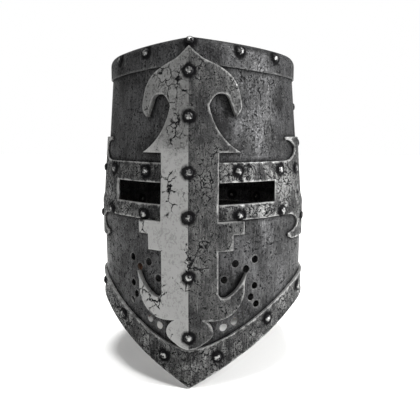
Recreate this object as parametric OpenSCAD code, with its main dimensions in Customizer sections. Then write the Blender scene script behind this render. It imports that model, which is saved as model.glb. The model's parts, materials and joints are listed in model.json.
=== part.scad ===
// Great helm of riveted steel plates, with a ridge down the face, a cross laid over the ridge,
// a quilted liner on a leather band and a two-part chin strap.
// Millimetres. +Z is up and the face looks along -Y. The origin is on the surface that the helm
// stands on, under the middle of its box.

/* [Plan of the shell] */
// Half of the width over the face plate
half_width = 118; // [112:1:124]
// From the side's widest line forward to the ridge, as a depth in front of the plan's zero
ridge_forward = 124; // [118:1:130]
// Radius of each front face in plan
front_radius = 185; // [175:1:200]
// Radius of the cheek in plan
cheek_radius = 80; // [75:1:84]
// Radius of the side behind the cheek
side_radius = 190; // [180:1:200]
// Radius of the back of the head
back_radius = 95; // [90:1:100]
// Angle that each front face is swept back from the ridge
ridge_rake = 15; // [12:1:18]

/* [Heights] */
// Lower edge of the skull plates, inside the face plate
skull_foot = 166; // [162:1:168]
// Upper edge of the face and neck plates
face_top = 186; // [184:1:188]
// Height at which the skull starts to narrow
taper_start = 186; // [184:1:190]
// Height at which the skull stops narrowing
taper_end = 325; // [320:1:326]
// Height of the crown's shoulder over the ridge
shoulder_z = 349.5; // [348:0.5:351]
// How fast the shoulder falls to the sides, in mm of height per mm of width
shoulder_fall = 0.085; // [0.07:0.005:0.1]
// Top of the dome
crown_top = 364; // [363:0.5:367]
// Height of the lower edge at the sides
side_edge = 77; // [72:1:80]
// Width of the lower rim
rim_width = 28; // [26:1:30]

/* [Plates] */
// Thickness of the plates
plate_t = 1.6; // [1.5:0.1:1.6]
// Gap left between stacked plates
gap = 0.3; // [0.25:0.05:0.35]
// How much the skull narrows on each side
skull_taper = 10.6; // [9:0.1:11.5]
// Thickness of the sight band
band_t = 2.2; // [2:0.1:2.4]
// How far the cross stands out from the face plate
cross_proud = 6.5; // [6:0.1:7]
// How far the rim stands out from the face plate
rim_proud = 2.6; // [2.4:0.1:2.8]

/* [Sight and breaths] */
// Lower edge of the eye slots
slot_low = 192.2; // [191:0.1:194]
// Upper edge of the eye slots
slot_high = 214.5; // [213:0.1:216]
// Outer end of each eye slot, from the middle
slot_out = 87.4; // [84:0.1:88]
// Inner end of each eye slot, behind the cross
slot_in = 27; // [24:0.5:29]
// Diameter of the breath holes
breath_d = 8; // [7:0.5:9]

/* [Rivets] */
// Diameter of a rivet's head
head_d = 9.4; // [8:0.2:10]
// Height of a rivet's head
head_h = 2.6; // [2:0.1:3]
// Diameter of a rivet's shank
shank_d = 4.6; // [4:0.1:5]

/* [Chin strap] */
// Width of the straps
strap_w = 18; // [16:1:20]
// Thickness of the strap leather
strap_t = 2.4; // [2:0.1:2.6]
// From the rivet down to the buckle's bar
buckle_drop = 96; // [90:1:100]
// From the rivet down to the billet's tip
billet_drop = 138; // [130:1:142]
// Lean of the straps, away from the wall
strap_lean = 10; // [9:0.5:11]
// Diameter of the buckle's wire
wire_d = 3; // [2.6:0.2:3.4]

/* [Hidden] */
$fn = 48;

// Plan: four arcs a side, tangent to each other. A station runs from 0 at the ridge to
// back_station at the middle of the back; a negative station is the left side.
front_c = [-front_radius * sin(ridge_rake), ridge_forward - front_radius * cos(ridge_rake)];
cheek_x = half_width - cheek_radius;
cheek_c = [cheek_x, front_c[1] + sqrt(pow(front_radius - cheek_radius, 2) - pow(cheek_x - front_c[0], 2))];
join_a = atan2(cheek_c[1] - front_c[1], cheek_c[0] - front_c[0]);
side_c = [half_width - side_radius, cheek_c[1]];
back_c = [0, side_c[1] - sqrt(pow(side_radius - back_radius, 2) - pow(side_c[0], 2))];
back_a = atan2(back_c[1] - side_c[1], back_c[0] - side_c[0]);
front_end = 6;
cheek_end = 10;
side_end = 17;
back_station = 24;
front_step = front_radius * (90 - ridge_rake - join_a) * PI / 180 / front_end;
ridge_mitre = 1 / cos(ridge_rake);

// The box's middle, front to back: from the rivet heads on the ridge to the rear rim
seat = 0.15;
end_gap = 0.25;
ridge_seat = 1.3;
rear_shift = plate_t + gap;
front_most = ridge_forward + cross_proud * ridge_mitre - ridge_seat + head_h;
rear_most = back_c[1] - back_radius - (rim_proud + 0.8 - rear_shift);
mid_f = (front_most + rear_most) / 2;

function arc_point(c, r, a) = [c[0] + r * cos(a), c[1] + r * sin(a), cos(a), sin(a)];
function arc_plan(v) =
    v <= 0 ? [0, ridge_forward, 0, ridge_mitre]
    : v < front_end ? arc_point(front_c, front_radius,
        90 - ridge_rake - (90 - ridge_rake - join_a) * v / front_end)
    : v < cheek_end ? arc_point(cheek_c, cheek_radius, join_a * (cheek_end - v) / (cheek_end - front_end))
    : v < side_end ? arc_point(side_c, side_radius, back_a * (v - cheek_end) / (side_end - cheek_end))
    : arc_point(back_c, back_radius, back_a - (90 + back_a) * (v - side_end) / (back_station - side_end));
// Between whole stations the wall is flat, as the plates are
function half_plan(v) =
    let (i = min(floor(v), back_station - 1), f = v - i) arc_plan(i) * (1 - f) + arc_plan(i + 1) * f;
// A station past the back is the same place counted from the ridge down the left side
function ring(u) = u > back_station ? u - 2 * back_station : u;
// A point of the wall: station, distance out from the face plate's surface, height
function wall(u, d, z) =
    let (v = ring(u), p = half_plan(abs(v)), s = v < 0 ? -1 : 1)
    [s * (p[0] + d * p[2]), mid_f - (p[1] + d * p[3]), z];
// Angle of the outward normal, about +Z from +X
function wall_angle(u) =
    let (v = ring(u), a = abs(v), i = floor(a), s = v < 0 ? -1 : 1, p = arc_plan(i), run = arc_plan(i + 1) - p)
    a == i ? atan2(-p[3], s * p[2]) : atan2(-run[0], -s * run[1]);
// Station of a point on the front face, from its distance to the middle
function front_station(x) =
    let (side = x < 0 ? -1 : 1, a = acos((abs(x) - front_c[0]) / front_radius))
    abs(x) < 0.01 ? 0
    : abs(x) < front_c[0] + front_radius * cos(join_a)
        ? side * front_end * (90 - ridge_rake - a) / (90 - ridge_rake - join_a)
    : side * (cheek_end - (cheek_end - front_end) * acos(min(1, (abs(x) - cheek_x) / cheek_radius)) / join_a);
// Every whole station between two ends, with the ends
function stations(u0, u1) = concat([u0], [for (i = [ceil(u0 + 0.01):floor(u1 - 0.01)]) i], [u1]);

// Outer surface of the skull plates, which narrows upwards
function clamp(z, low, high) = min(max(z, low), high);
function skull_d(z)
    = -rear_shift - skull_taper * (clamp(z, taper_start, taper_end) - taper_start) / (taper_end - taper_start);
skull_lean = atan(skull_taper / (taper_end - taper_start));
// Outer surface of the sight band: over the face plate, then stepping in to the skull
band_step = [186.5, 198];
band_proud = gap + band_t;
band_over_skull = 3;
function band_d(z) =
    z <= band_step[0] ? band_proud
    : z >= band_step[1] ? skull_d(z) + band_over_skull
    : band_proud
        + (skull_d(band_step[1]) + band_over_skull - band_proud)
            * (z - band_step[0]) / (band_step[1] - band_step[0]);
// Outer surface of the cross
cross_over_skull = 7;
function cross_d(z) =
    z <= band_step[0] ? cross_proud
    : z >= band_step[1] ? skull_d(z) + cross_over_skull
    : cross_proud
        + (skull_d(band_step[1]) + cross_over_skull - cross_proud)
            * (z - band_step[0]) / (band_step[1] - band_step[0]);
// Shoulder line of the crown
function shoulder(u) = shoulder_z - shoulder_fall * abs(wall(u, skull_d(taper_end), 0)[0]);
// Lower edge of the helm, and the rim's width over it
rear_fall = 11;
rear_level = 15.5;
edge_slope = 0.515;
cheek_edge = edge_slope * front_step * front_end;
function low_edge(v) =
    v < front_end ? edge_slope * front_step * v
    : v < cheek_end ? side_edge - (side_edge - cheek_edge) * pow((cheek_end - v) / (cheek_end - front_end), 2)
    : v < rear_fall ? side_edge
    : v < rear_level ? side_edge * (0.5 + 0.5 * cos(180 * (v - rear_fall) / (rear_level - rear_fall)))
    : 0;
function edge_z(u) = low_edge(abs(ring(u)));
function rim_top(u) = edge_z(u) + rim_width + 13.5 * exp(-abs(ring(u)) * front_step / 30);

// A wall of one thickness or more: us are the stations, sections the closed outlines [d, z] at
// each, listed from the outer foot upwards and back down the inside
module wall_solid(us, sections, closed) {
    k = len(sections[0]);
    n = len(us);
    points = [for (i = [0:n - 1]) for (s = sections[i]) wall(us[i], s[0], s[1])];
    last = closed ? n - 1 : n - 2;
    sides = [for (i = [0:last]) for (j = [0:k - 1])
        let (a = i * k + j, b = i * k + (j + 1) % k,
                c = ((i + 1) % n) * k + j, d = ((i + 1) % n) * k + (j + 1) % k)
        each [[a, b, c], [b, d, c]]];
    caps = closed ? [] : [[for (j = [k - 1:-1:0]) j], [for (j = [0:k - 1]) (n - 1) * k + j]];
    polyhedron(points = points, faces = concat(sides, caps), convexity = 8);
}

// A plate between two height functions, given as lists of [d, z] up the outside
module wall_plate(u0, u1, t, profile) {
    us = stations(u0, u1);
    wall_solid(us, [for (u = us) let (o = profile(u)) concat(o, [
        for (i = [len(o) - 1:-1:0]) [o[i][0] - t, o[i][1]]])], false);
}

// Places its children on the wall, with +X straight out of it and +Z up
module on_wall(u, d, z, lean = 0) {
    translate(wall(u, d, z)) rotate([0, 0, wall_angle(u)]) rotate([0, -lean, 0]) children();
}

// One rivet, head outside: grip is from the head's seat in to the hammered end
end_d = 7.2;
module rivet(grip) {
    end_h = 1;
    dome_r = (pow(head_d / 2, 2) + head_h * head_h) / (2 * head_h);
    rotate([0, 90, 0]) {
        intersection() {
            translate([0, 0, head_h - dome_r]) sphere(r = dome_r);
            cylinder(d = head_d + 1, h = head_h + 1);
        }
        translate([0, 0, -grip - 0.5]) cylinder(d = shank_d, h = grip + 1);
        translate([0, 0, -grip - end_h]) cylinder(d = end_d, h = end_h);
    }
}
module rivet_hole(depth = 30) {
    rotate([0, 90, 0]) translate([0, 0, -depth / 2]) cylinder(d = shank_d + 0.2, h = depth);
}

// Where the rivets go: [station, outer surface, height, lean, innermost surface]
skull_seam = 11;
shoulder_r = 11;
crown_out = skull_d(taper_end) + gap + plate_t;
// The crown steps in behind the seam to follow the back plate
function crown_d(u) = crown_out - rear_shift * clamp(abs(ring(u)) - skull_seam, 0, 1);
shoulder_turn = 25;
function on_shoulder(u, a, deep) =
    let (b = a + shoulder_turn, d = crown_d(u) - shoulder_r * (1 - (cos(a) + cos(b)) / 2))
    [u, d, shoulder(u) + shoulder_r * (sin(a) + sin(b)) / 2, (a + b) / 2, d - 2 * plate_t - gap - deep];
function on_flange(u) = [u, crown_d(u), shoulder(u) - 7, 0, crown_d(u) - 2 * plate_t - gap];
crown_at = concat([on_shoulder(0, shoulder_turn, 2)],
    [for (s = [-1, 1]) each [on_shoulder(s * front_station(48), 0, 1), on_shoulder(s * 5.2, 0, 1),
        on_flange(s * 13.5), on_flange(s * 17.5), on_flange(s * 21.5)]]);
ridge_at = [for (z = [56, 120, 181]) [0, cross_d(z), z, 0, z < skull_foot ? -plate_t : skull_d(z) - plate_t]];
ridge_upper_at = [for (z = [226, 281.4, 326])
    [0, cross_d(z), z, z < taper_end ? skull_lean : 0, skull_d(z) - plate_t]];
band_upper_z = 226;
band_foot_z = 181;
ear_foot_z = 171;
back_inner = -rear_shift - plate_t;
// The upper row also holds the liner band and its washers
washer_t = 0.8;
liner_t = 2.5;
liner_out = back_inner - 0.4;
liner_stack = liner_t + gap + washer_t - liner_out;
band_upper_at = [for (s = [-1, 1]) for (u = [front_station(49.3), front_station(93.7), 7.5, 11.5])
    [s * u, band_d(band_upper_z), band_upper_z, skull_lean, skull_d(band_upper_z) - liner_stack]];
band_lower_at = [for (s = [-1, 1]) each concat(
    [for (x = [49.3, 93.7]) [s * front_station(x), band_d(band_foot_z), band_foot_z, 0, back_inner]],
    [[s * 8.5, band_d(ear_foot_z), ear_foot_z, 0, back_inner],
    [s * 11.5, band_d(ear_foot_z), ear_foot_z, 0, back_inner - rear_shift],
    [s * 10.5, band_d(254), 254, skull_lean, skull_d(254) + back_inner]])];
front_rim_at = [for (s = [-1, 1]) for (u = [front_station(27.8), front_station(78.9), 7.5])
    [s * u, rim_proud, edge_z(u) + rim_width * 0.6, 0, -plate_t]];
rear_rim_at = [for (s = [-1, 1]) for (u = [12.5, 16.5, 20.5])
    [s * u, rim_proud - rear_shift, edge_z(u) + rim_width * 0.51, 0, back_inner]];
seam_at = [for (s = [-1, 1]) each [
    [s * 10.5, skull_d(296), 296, skull_lean, skull_d(296) + back_inner],
    [s * 11.5, 0, 122, 0, back_inner]]];
waist_z = 176;
waist_at = concat([[back_station, -rear_shift, waist_z, 0, back_inner - rear_shift - 0.2]],
    [for (s = [-1, 1]) for (u = [14.5, 17.5, 21.5])
        [s * u, -rear_shift, waist_z, 0, back_inner - rear_shift]]);
rear_liner_at = [for (s = [-1, 1]) for (u = [15.5, 19.5, 22.5])
    [s * u, skull_d(band_upper_z) - rear_shift, band_upper_z, skull_lean,
        skull_d(band_upper_z) - liner_stack]];

module rivets(places) {
    for (p = places) on_wall(p[0], p[1] + seat, p[2], p[3]) rivet(p[1] - p[4] + seat + end_gap);
}
module rivet_holes(places) {
    for (p = places) on_wall(p[0], p[1], p[2], p[3]) rivet_hole();
}

// Straight cuts from the front, drawn as the front view shows them
module front_cut(x0, x1, z0, z1) {
    for (s = [0, 1]) mirror([s, 0, 0]) translate([x0, -200, z0]) cube([x1 - x0, 190, z1 - z0]);
}
module front_bore(x, z, d) {
    translate([x, -10, z]) rotate([90, 0, 0]) cylinder(d = d, h = 190);
}
breath_at = [[66.6, 131.7], [46.3, 129.6], [57.5, 122.5], [66.6, 102.9], [68.3, 82.4], [62.6, 91],
    [45.6, 66.8], [34.2, 62], [35, 113.4]];
module eye_slots() { front_cut(slot_in, slot_out, slot_low, slot_high); }

/* Steel plates */
module crown_plate() {
    us = [for (i = [1 - back_station:back_station]) i];
    flange = 15;
    turns = [for (i = [0:3]) i * shoulder_turn];
    rings = [0.86, 0.66, 0.4, 0.16];
    centre = [0, mid_f - 0.5 * (ridge_forward + back_c[1] - back_radius)];
    function edge_loop(u, t) = let (s = shoulder(u), r = shoulder_r - t)
        concat([[crown_d(u) - t, s - flange]],
            [for (a = turns) [crown_d(u) - shoulder_r + r * cos(a), s + r * sin(a)]]);
    function toward(p, k, t) = let (top = crown_top - t)
        [centre[0] + (p[0] - centre[0]) * k, centre[1] + (p[1] - centre[1]) * k,
            top - (top - p[2]) * pow(k, 1.7)];
    m = len(turns) + 1 + len(rings);
    n = len(us);
    function skin(t) = [for (u = us)
        let (e = edge_loop(u, t), w = [for (s = e) wall(u, s[0], s[1])])
        each concat(w, [for (k = rings) toward(w[len(w) - 1], k, t)])];
    points = concat(skin(0), skin(plate_t), [[centre[0], centre[1], crown_top],
        [centre[0], centre[1], crown_top - plate_t]]);
    function quads(base, turn) = [for (i = [0:n - 1]) for (j = [0:m - 2])
        let (a = base + i * m + j, c = base + ((i + 1) % n) * m + j)
        each turn ? [[a, a + 1, c], [a + 1, c + 1, c]] : [[a, c, a + 1], [a + 1, c, c + 1]]];
    function cone(base, tip, turn) = [for (i = [0:n - 1])
        let (a = base + i * m + m - 1, c = base + ((i + 1) % n) * m + m - 1)
        turn ? [a, tip, c] : [a, c, tip]];
    foot = [for (i = [0:n - 1]) let (a = i * m, c = ((i + 1) % n) * m, b = n * m)
        each [[a, c, b + a], [c, b + c, b + a]]];
    faces = concat(quads(0, true), quads(n * m, false), cone(0, 2 * n * m, true),
        cone(n * m, 2 * n * m + 1, false), foot);
    color("#5f6164") difference() {
        polyhedron(points = points, faces = faces, convexity = 6);
        rivet_holes(crown_at);
    }
}
// The front skull plate tapers, then turns in under the crown
function front_skull_section(u) =
    let (c = crown_out - shoulder_r, r = skull_d(taper_end) - c, s = shoulder(u),
        levels = [skull_foot, taper_start, taper_end], turns = [for (i = [0:2]) i * shoulder_turn])
    concat([for (z = levels) [skull_d(z), z]],
        [for (a = turns) [c + r * cos(a), s + r * sin(a)]],
        [for (i = [2:-1:0]) [c + (r - plate_t) * cos(turns[i]), s + (r - plate_t) * sin(turns[i])]],
        [for (i = [2:-1:0]) [skull_d(levels[i]) - plate_t, levels[i]]]);
module front_skull_plate() {
    color("#55575a") difference() {
        let (us = stations(-skull_seam, skull_seam))
            wall_solid(us, [for (u = us) front_skull_section(u)], false);
        eye_slots();
        rivet_holes(concat(crown_at, ridge_at, ridge_upper_at, band_upper_at, band_lower_at, seam_at));
    }
}
module back_skull_plate() {
    color("#55575a") difference() {
        wall_plate(skull_seam - 1, 2 * back_station - skull_seam + 1, plate_t,
            function(u)
                [for (z = [skull_foot, taper_start, taper_end, shoulder(u)]) [skull_d(z) - rear_shift, z]]);
        rivet_holes(concat(crown_at, band_upper_at, band_lower_at, seam_at, waist_at, rear_liner_at));
    }
}
module face_plate() {
    hem = 1.2;
    color("#57595c") difference() {
        wall_plate(-skull_seam - 1, skull_seam + 1, plate_t,
            function(u) [[0, edge_z(u) + hem], [0, face_top]]);
        for (s = [-1, 1]) for (b = breath_at) front_bore(s * b[0], b[1], breath_d);
        rivet_holes(concat(ridge_at, band_lower_at, front_rim_at, seam_at));
    }
}
neck_start = skull_seam + 0.05;
module neck_plate() {
    hem = 1.2;
    color("#55575a") difference() {
        wall_plate(neck_start, 2 * back_station - neck_start, plate_t,
            function(u) [[-rear_shift, edge_z(u) + hem], [-rear_shift, face_top]]);
        rivet_holes(concat(band_lower_at, rear_rim_at, seam_at, waist_at, strap_at));
    }
}

band_low = 176;
band_high = 235;
ear_low = 148;
ear_high = 261;
ear_end = 12.5;
module sight_band() {
    levels = [ear_low, band_step[0], band_step[1], ear_high];
    hook_x = 98;
    hook_r = 11.5;
    foot_x = 103;
    foot_r = 10.5;
    color("#8b8c8c") difference() {
        wall_plate(-ear_end, ear_end, band_t, function(u) [for (z = levels) [band_d(z), z]]);
        front_cut(-1, hook_x, band_high, ear_high + 1);
        front_cut(-1, foot_x, ear_low - 1, band_low);
        for (s = [-1, 1]) {
            front_bore(s * hook_x, band_high + hook_r, 2 * hook_r);
            front_bore(s * foot_x, band_low - foot_r, 2 * foot_r);
        }
        eye_slots();
        rivet_holes(concat(ridge_at, ridge_upper_at, band_upper_at, band_lower_at));
    }
}

// Outline of the cross, right half, from the foot up: each stretch is a straight line or a curve
// through a control point
function bend(a, b, c, n = 6) = [for (i = [1:n]) let (t = i / n)
    a * (1 - t) * (1 - t) + b * 2 * t * (1 - t) + c * t * t];
arm_w = 29.8;
cross_tip = 350;
half_cross = concat(
    [[0, 43.4]],
    bend([0, 43.4], [9, 43.6], [14.5, 48.6]),
    bend([14.5, 48.6], [25.4, 54], [24.8, 61]),
    bend([24.8, 61], [23.5, 69], [15.5, 73.5]),
    bend([15.5, 73.5], [36, 69.5], [46, 79]),
    bend([46, 79], [55, 87.5], [56.6, 100]),
    [[56.8, 110], [58.6, 120]],
    bend([58.6, 120], [51, 100.5], [38, 95.3]),
    bend([38, 95.3], [32.5, 93.5], [arm_w, 100], 4),
    [[arm_w, 145.1], [44.7, 145.1], [44.7, 161.6], [55.8, 161.6],
        [55.8, band_low - 0.6], [arm_w, band_low - 0.6]],
    [[arm_w, 245.4], [51.4, 245.4]],
    bend([51.4, 245.4], [26, 261], [19.8, 292], 8),
    bend([19.8, 292], [24, 304.4], [31.5, 304.4]),
    bend([31.5, 304.4], [39.5, 304], [40.6, 297], 4),
    bend([40.6, 297], [43.5, 290], [46.4, 281.5], 4),
    bend([46.4, 281.5], [54.5, 289], [50.8, 299]),
    bend([50.8, 299], [49, 316], [38, 325.5]),
    bend([38, 325.5], [29, 332], [15, 337.6]),
    bend([15, 337.6], [8.5, 341.5], [0, cross_tip], 4));
module ridge_cross() {
    flange_z = shoulder_z - 15;
    cross_inner = [[gap, 40], [gap, band_low - 1], [band_proud + gap, band_low - 0.5],
        [band_d(band_step[0]) + gap, band_step[0]],
        [band_d(band_step[1]) + gap, band_step[1]], [band_d(band_high) + gap, band_high + 0.5],
        [skull_d(band_high) + gap, band_high + 1], [skull_d(taper_end) + gap, taper_end],
        [skull_d(taper_end) + gap, flange_z - 6], [crown_out + gap, flange_z - 5.5],
        [crown_out + gap, cross_tip + 2]];
    cross_outer = [for (z = [40, band_step[0], band_step[1], taper_end, cross_tip + 2]) [cross_d(z), z]];
    section = concat(cross_outer, [for (i = [len(cross_inner) - 1:-1:0]) cross_inner[i]]);
    us = stations(-4, 4);
    color("#a3a4a4") difference() {
        intersection() {
            wall_solid(us, [for (u = us) section], false);
            rotate([90, 0, 0]) linear_extrude(height = 190)
                polygon(concat(half_cross, [for (i = [len(half_cross) - 2:-1:1])
                    [-half_cross[i][0], half_cross[i][1]]]));
        }
        // Flat seats filed for the rivets on the ridge
        for (p = concat(ridge_at, ridge_upper_at)) on_wall(p[0], p[1], p[2], p[3])
            translate([-ridge_seat, 0, 0]) rotate([0, 90, 0]) cylinder(d = head_d + 0.6, h = 10);
        rivet_holes(concat(ridge_at, ridge_upper_at));
    }
}

// The rim: a flat strip with a raised lip along its upper edge and a thick hem at its foot
function rim_section(u, shift) =
    let (z0 = edge_z(u), z1 = rim_top(u), i = gap - shift, o = rim_proud - shift, lip = o + 0.8)
    [[i, z0], [lip, z0], [lip, z0 + 3.5], [o, z0 + 5], [o, z1 - 4.5], [lip, z1 - 3.2], [lip, z1], [i, z1]];
module rim(u0, u1, shift, places) {
    us = stations(u0, u1);
    difference() {
        wall_solid(us, [for (u = us) rim_section(u, shift)], false);
        rivet_holes(places);
    }
}
rim_seam = skull_seam + 1;
module front_rim() { color("#8f9090") rim(-rim_seam, rim_seam, 0, front_rim_at); }
module rear_rim() { color("#8f9090")
    rim(rim_seam + 0.03, 2 * back_station - rim_seam - 0.03, rear_shift, rear_rim_at); }

/* Rivets of the shell */
module crown_rivets() { color("#3c3d3f") rivets(crown_at); }
module ridge_rivets() {
    // The hammered ends bridge the fold inside the ridge
    bridge = end_d / 2 * tan(ridge_rake + (90 - ridge_rake - join_a) / front_end / 2);
    color("#3c3d3f") for (p = concat(ridge_at, ridge_upper_at))
        on_wall(p[0], p[1], p[2], p[3]) translate([seat - ridge_seat, 0, 0])
            rivet((p[1] - p[4]) * ridge_mitre - ridge_seat + bridge + seat + 0.1);
}
module band_rivets() { color("#3c3d3f") rivets(concat(band_upper_at, band_lower_at)); }
module front_rim_rivets() { color("#3c3d3f") rivets(front_rim_at); }
module rear_rim_rivets() { color("#3c3d3f") rivets(rear_rim_at); }
module side_seam_rivets() { color("#3c3d3f") rivets(seam_at); }
module waist_rivets() { color("#3c3d3f") rivets(waist_at); }
module rear_liner_rivets() { color("#3c3d3f") rivets(rear_liner_at); }

/* Liner */
liner_low = 217;
liner_high = 246;
lobe_low = 237;
function liner_d(z) = skull_d(z) + liner_out;
module liner_band() {
    us = [for (i = [1 - back_station:back_station]) i];
    section = concat([for (z = [liner_low, liner_high]) [liner_d(z), z]],
        [for (z = [liner_high, liner_low]) [liner_d(z) - liner_t, z]]);
    color("#6b4a30") difference() {
        wall_solid(us, [for (u = us) section], true);
        rivet_holes(concat(band_upper_at, rear_liner_at));
    }
}
// Washers between the liner band and the hammered ends of its rivets
module liner_washers() {
    color("#8f9090") for (p = concat(band_upper_at, rear_liner_at))
        on_wall(p[0], p[1], p[2], p[3]) translate([p[4] - p[1] + washer_t, 0, 0]) rotate([0, -90, 0])
            difference() {
            cylinder(d = 10, h = washer_t);
            translate([0, 0, -1]) cylinder(d = shank_d + 0.2, h = washer_t + 2);
        }
}
// Quilted lobes, sewn inside the band and drawn in to the crown disc
lobe_t = 12;
disc_z = 320;
disc_d = -50;
module liner_lobe(u0, u1) {
    outer = [[liner_d(lobe_low) - liner_t - gap, lobe_low],
        [liner_d(liner_high) - liner_t - gap, liner_high + 2],
        [-20, 272], [-34, 300], [disc_d - 2, disc_z - 1.5]];
    inner = [[disc_d - 5, disc_z - 10], [-48, 294], [-33, 266], [-25, 244],
        [liner_d(lobe_low) - lobe_t, lobe_low]];
    us = stations(u0, u1);
    wall_solid(us, [for (u = us) concat(outer, inner)], false);
}
lobe_gap = 0.3;
lobe_ends = [0, 6, 12, 18, 24];
module lobe(i) {
    u0 = lobe_ends[i] + lobe_gap;
    u1 = lobe_ends[i + 1] - lobe_gap;
    color("#c9bfa6") liner_lobe(u0, u1);
}
module left_lobe(i) { mirror([1, 0, 0]) lobe(i); }
module liner_crown_disc() {
    rim_points = [for (i = [1 - back_station:back_station]) let (p = wall(i, disc_d, 0)) [p[0], p[1]]];
    color("#6b4a30") translate([0, 0, disc_z]) linear_extrude(height = liner_t) polygon(rim_points);
}

/* Chin strap: hangs from one rivet each side, inside the neck plate behind the jaw */
strap_u = 13.5;
strap_z = 150;
bend_z = 13;
strap_d = -rear_shift - plate_t - 2 * gap;
running = 0.05;
strap_at = [for (s = [-1, 1]) [s * strap_u, -rear_shift, strap_z, 0, strap_d - strap_t - gap - washer_t]];
module strap_rivets() { color("#3c3d3f") rivets(strap_at); }
module strap_washers() {
    color("#8f9090") for (p = strap_at) on_wall(p[0], strap_d - strap_t - gap, strap_z)
        rotate([0, -90, 0]) difference() {
            cylinder(d = 12, h = washer_t);
            translate([0, 0, -1]) cylinder(d = shank_d + 0.2, h = washer_t + 2);
        }
}
// Runs its children down the strap: +Z is up the strap, +X is out, and the origin is on the bend
module down_strap() { translate([0, 0, -bend_z]) rotate([0, strap_lean, 0]) children(); }
// Strap leather from the rivet to a drop below it
module strap_blank(drop, tip_w) {
    top = 10;
    run = drop - bend_z;
    along = [-run * sin(strap_lean), -bend_z - run * cos(strap_lean)];
    intersection() {
        rotate([90, 0, 0]) translate([0, 0, -strap_w]) linear_extrude(height = 2 * strap_w) polygon([
            [0, top], [-strap_t, top], [-strap_t, -bend_z + strap_t * tan(strap_lean / 2)],
            along + strap_t * [-cos(strap_lean), sin(strap_lean)], along, [0, -bend_z]]);
        rotate([0, 90, 0]) translate([0, 0, -60]) linear_extrude(height = 120) union() {
            circle(r = top);
            polygon([[0, -strap_w / 2], [drop - 12, -strap_w / 2], [drop, -tip_w / 2],
                [drop, tip_w / 2], [drop - 12, strap_w / 2], [0, strap_w / 2]]);
        }
    }
}
module pivot_bore() { rotate([0, 90, 0]) translate([0, 0, -20]) cylinder(d = shank_d + 2 * running, h = 40); }
module at_strap(side) { mirror([side < 0 ? 1 : 0, 0, 0]) on_wall(strap_u, strap_d, strap_z) children(); }
// The bar of the buckle lies under the strap's end, which is folded round it
bar_r = wire_d / 2;
eye_r = bar_r + running;
module at_bar() { down_strap() translate([-strap_t / 2, 0, bend_z - buckle_drop]) children(); }
module buckle_strap() {
    slot_w = 5.4;
    fold = eye_r + strap_t;
    color("#5d3f28") at_strap(1) difference() {
        union() {
            strap_blank(buckle_drop - 1, strap_w);
            at_bar() rotate([90, 0, 0]) translate([0, 0, -strap_w / 2]) cylinder(r = fold, h = strap_w);
        }
        at_bar() rotate([90, 0, 0]) translate([0, 0, -20]) cylinder(r = eye_r, h = 40);
        at_bar() translate([-10, -slot_w / 2, -8]) cube([20, slot_w, 14]);
        pivot_bore();
    }
}
module strap_keeper() {
    keeper_h = 8;
    keeper_t = 1.6;
    color("#5d3f28") at_strap(1) down_strap() translate([-strap_t / 2, 0, bend_z - buckle_drop + 20])
        difference() {
            cube([strap_t + 2 * gap + 2 * keeper_t + 2.8, strap_w + 2 * gap + 2 * keeper_t,
                    keeper_h], center = true);
            cube([strap_t + 2 * gap + 2.8, strap_w + 2 * gap, keeper_h + 2], center = true);
        }
}
module billet_strap() {
    hole_d = 4;
    pitch = 14;
    color("#5d3f28") at_strap(-1) difference() {
        strap_blank(billet_drop, 6);
        pivot_bore();
        down_strap() for (i = [0:4]) translate([-10, 0, bend_z - billet_drop + 22 + pitch * i])
            rotate([0, 90, 0]) cylinder(d = hole_d, h = 20);
    }
}
frame_h = 22;
frame_out = strap_w + 2 * wire_d + 1.6;
module buckle_frame() {
    color("#a08a4a") at_strap(1) at_bar() {
        rotate([90, 0, 0]) translate([0, 0, -frame_out / 2 + 1]) cylinder(d = wire_d, h = frame_out - 2);
        for (s = [-1, 1]) translate([0, s * (frame_out - wire_d) / 2, -frame_h]) {
            cylinder(d = wire_d, h = frame_h);
            sphere(d = wire_d);
            translate([0, 0, frame_h]) sphere(d = wire_d);
        }
        translate([0, 0, -frame_h]) rotate([90, 0, 0]) translate([0, 0, -(frame_out - wire_d) / 2])
            cylinder(d = wire_d, h = frame_out - wire_d);
    }
}
module buckle_tongue() {
    tongue_w = 4.6;
    tongue_t = 2;
    lift = bar_r + running;
    color("#a08a4a") at_strap(1) at_bar() difference() {
        union() {
            rotate([90, 0, 0]) translate([0, 0, -tongue_w / 2]) cylinder(r = lift + 1.4, h = tongue_w);
            translate([-lift - 1.4 - gap, -1.5, -frame_h - 2.2]) cube([tongue_t - 0.6, 3, frame_h + 2.2]);
        }
        rotate([90, 0, 0]) translate([0, 0, -20]) cylinder(r = lift, h = 40);
    }
}

crown_plate();
front_skull_plate();
back_skull_plate();
face_plate();
neck_plate();
sight_band();
ridge_cross();
front_rim();
rear_rim();
crown_rivets();
ridge_rivets();
band_rivets();
front_rim_rivets();
rear_rim_rivets();
side_seam_rivets();
waist_rivets();
rear_liner_rivets();
liner_washers();
liner_band();
liner_crown_disc();
lobe(0);  // liner_lobe_1
lobe(1);  // liner_lobe_2
lobe(2);  // liner_lobe_3
lobe(3);  // liner_lobe_4
left_lobe(0);  // liner_lobe_5
left_lobe(1);  // liner_lobe_6
left_lobe(2);  // liner_lobe_7
left_lobe(3);  // liner_lobe_8
strap_rivets();
strap_washers();
buckle_strap();
strap_keeper();
billet_strap();
buckle_frame();
buckle_tongue();
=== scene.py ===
import json
import math

import bmesh
import bpy
import numpy as np
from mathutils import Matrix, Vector, noise
from mathutils.bvhtree import BVHTree
from mathutils.geometry import delaunay_2d_cdt


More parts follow.
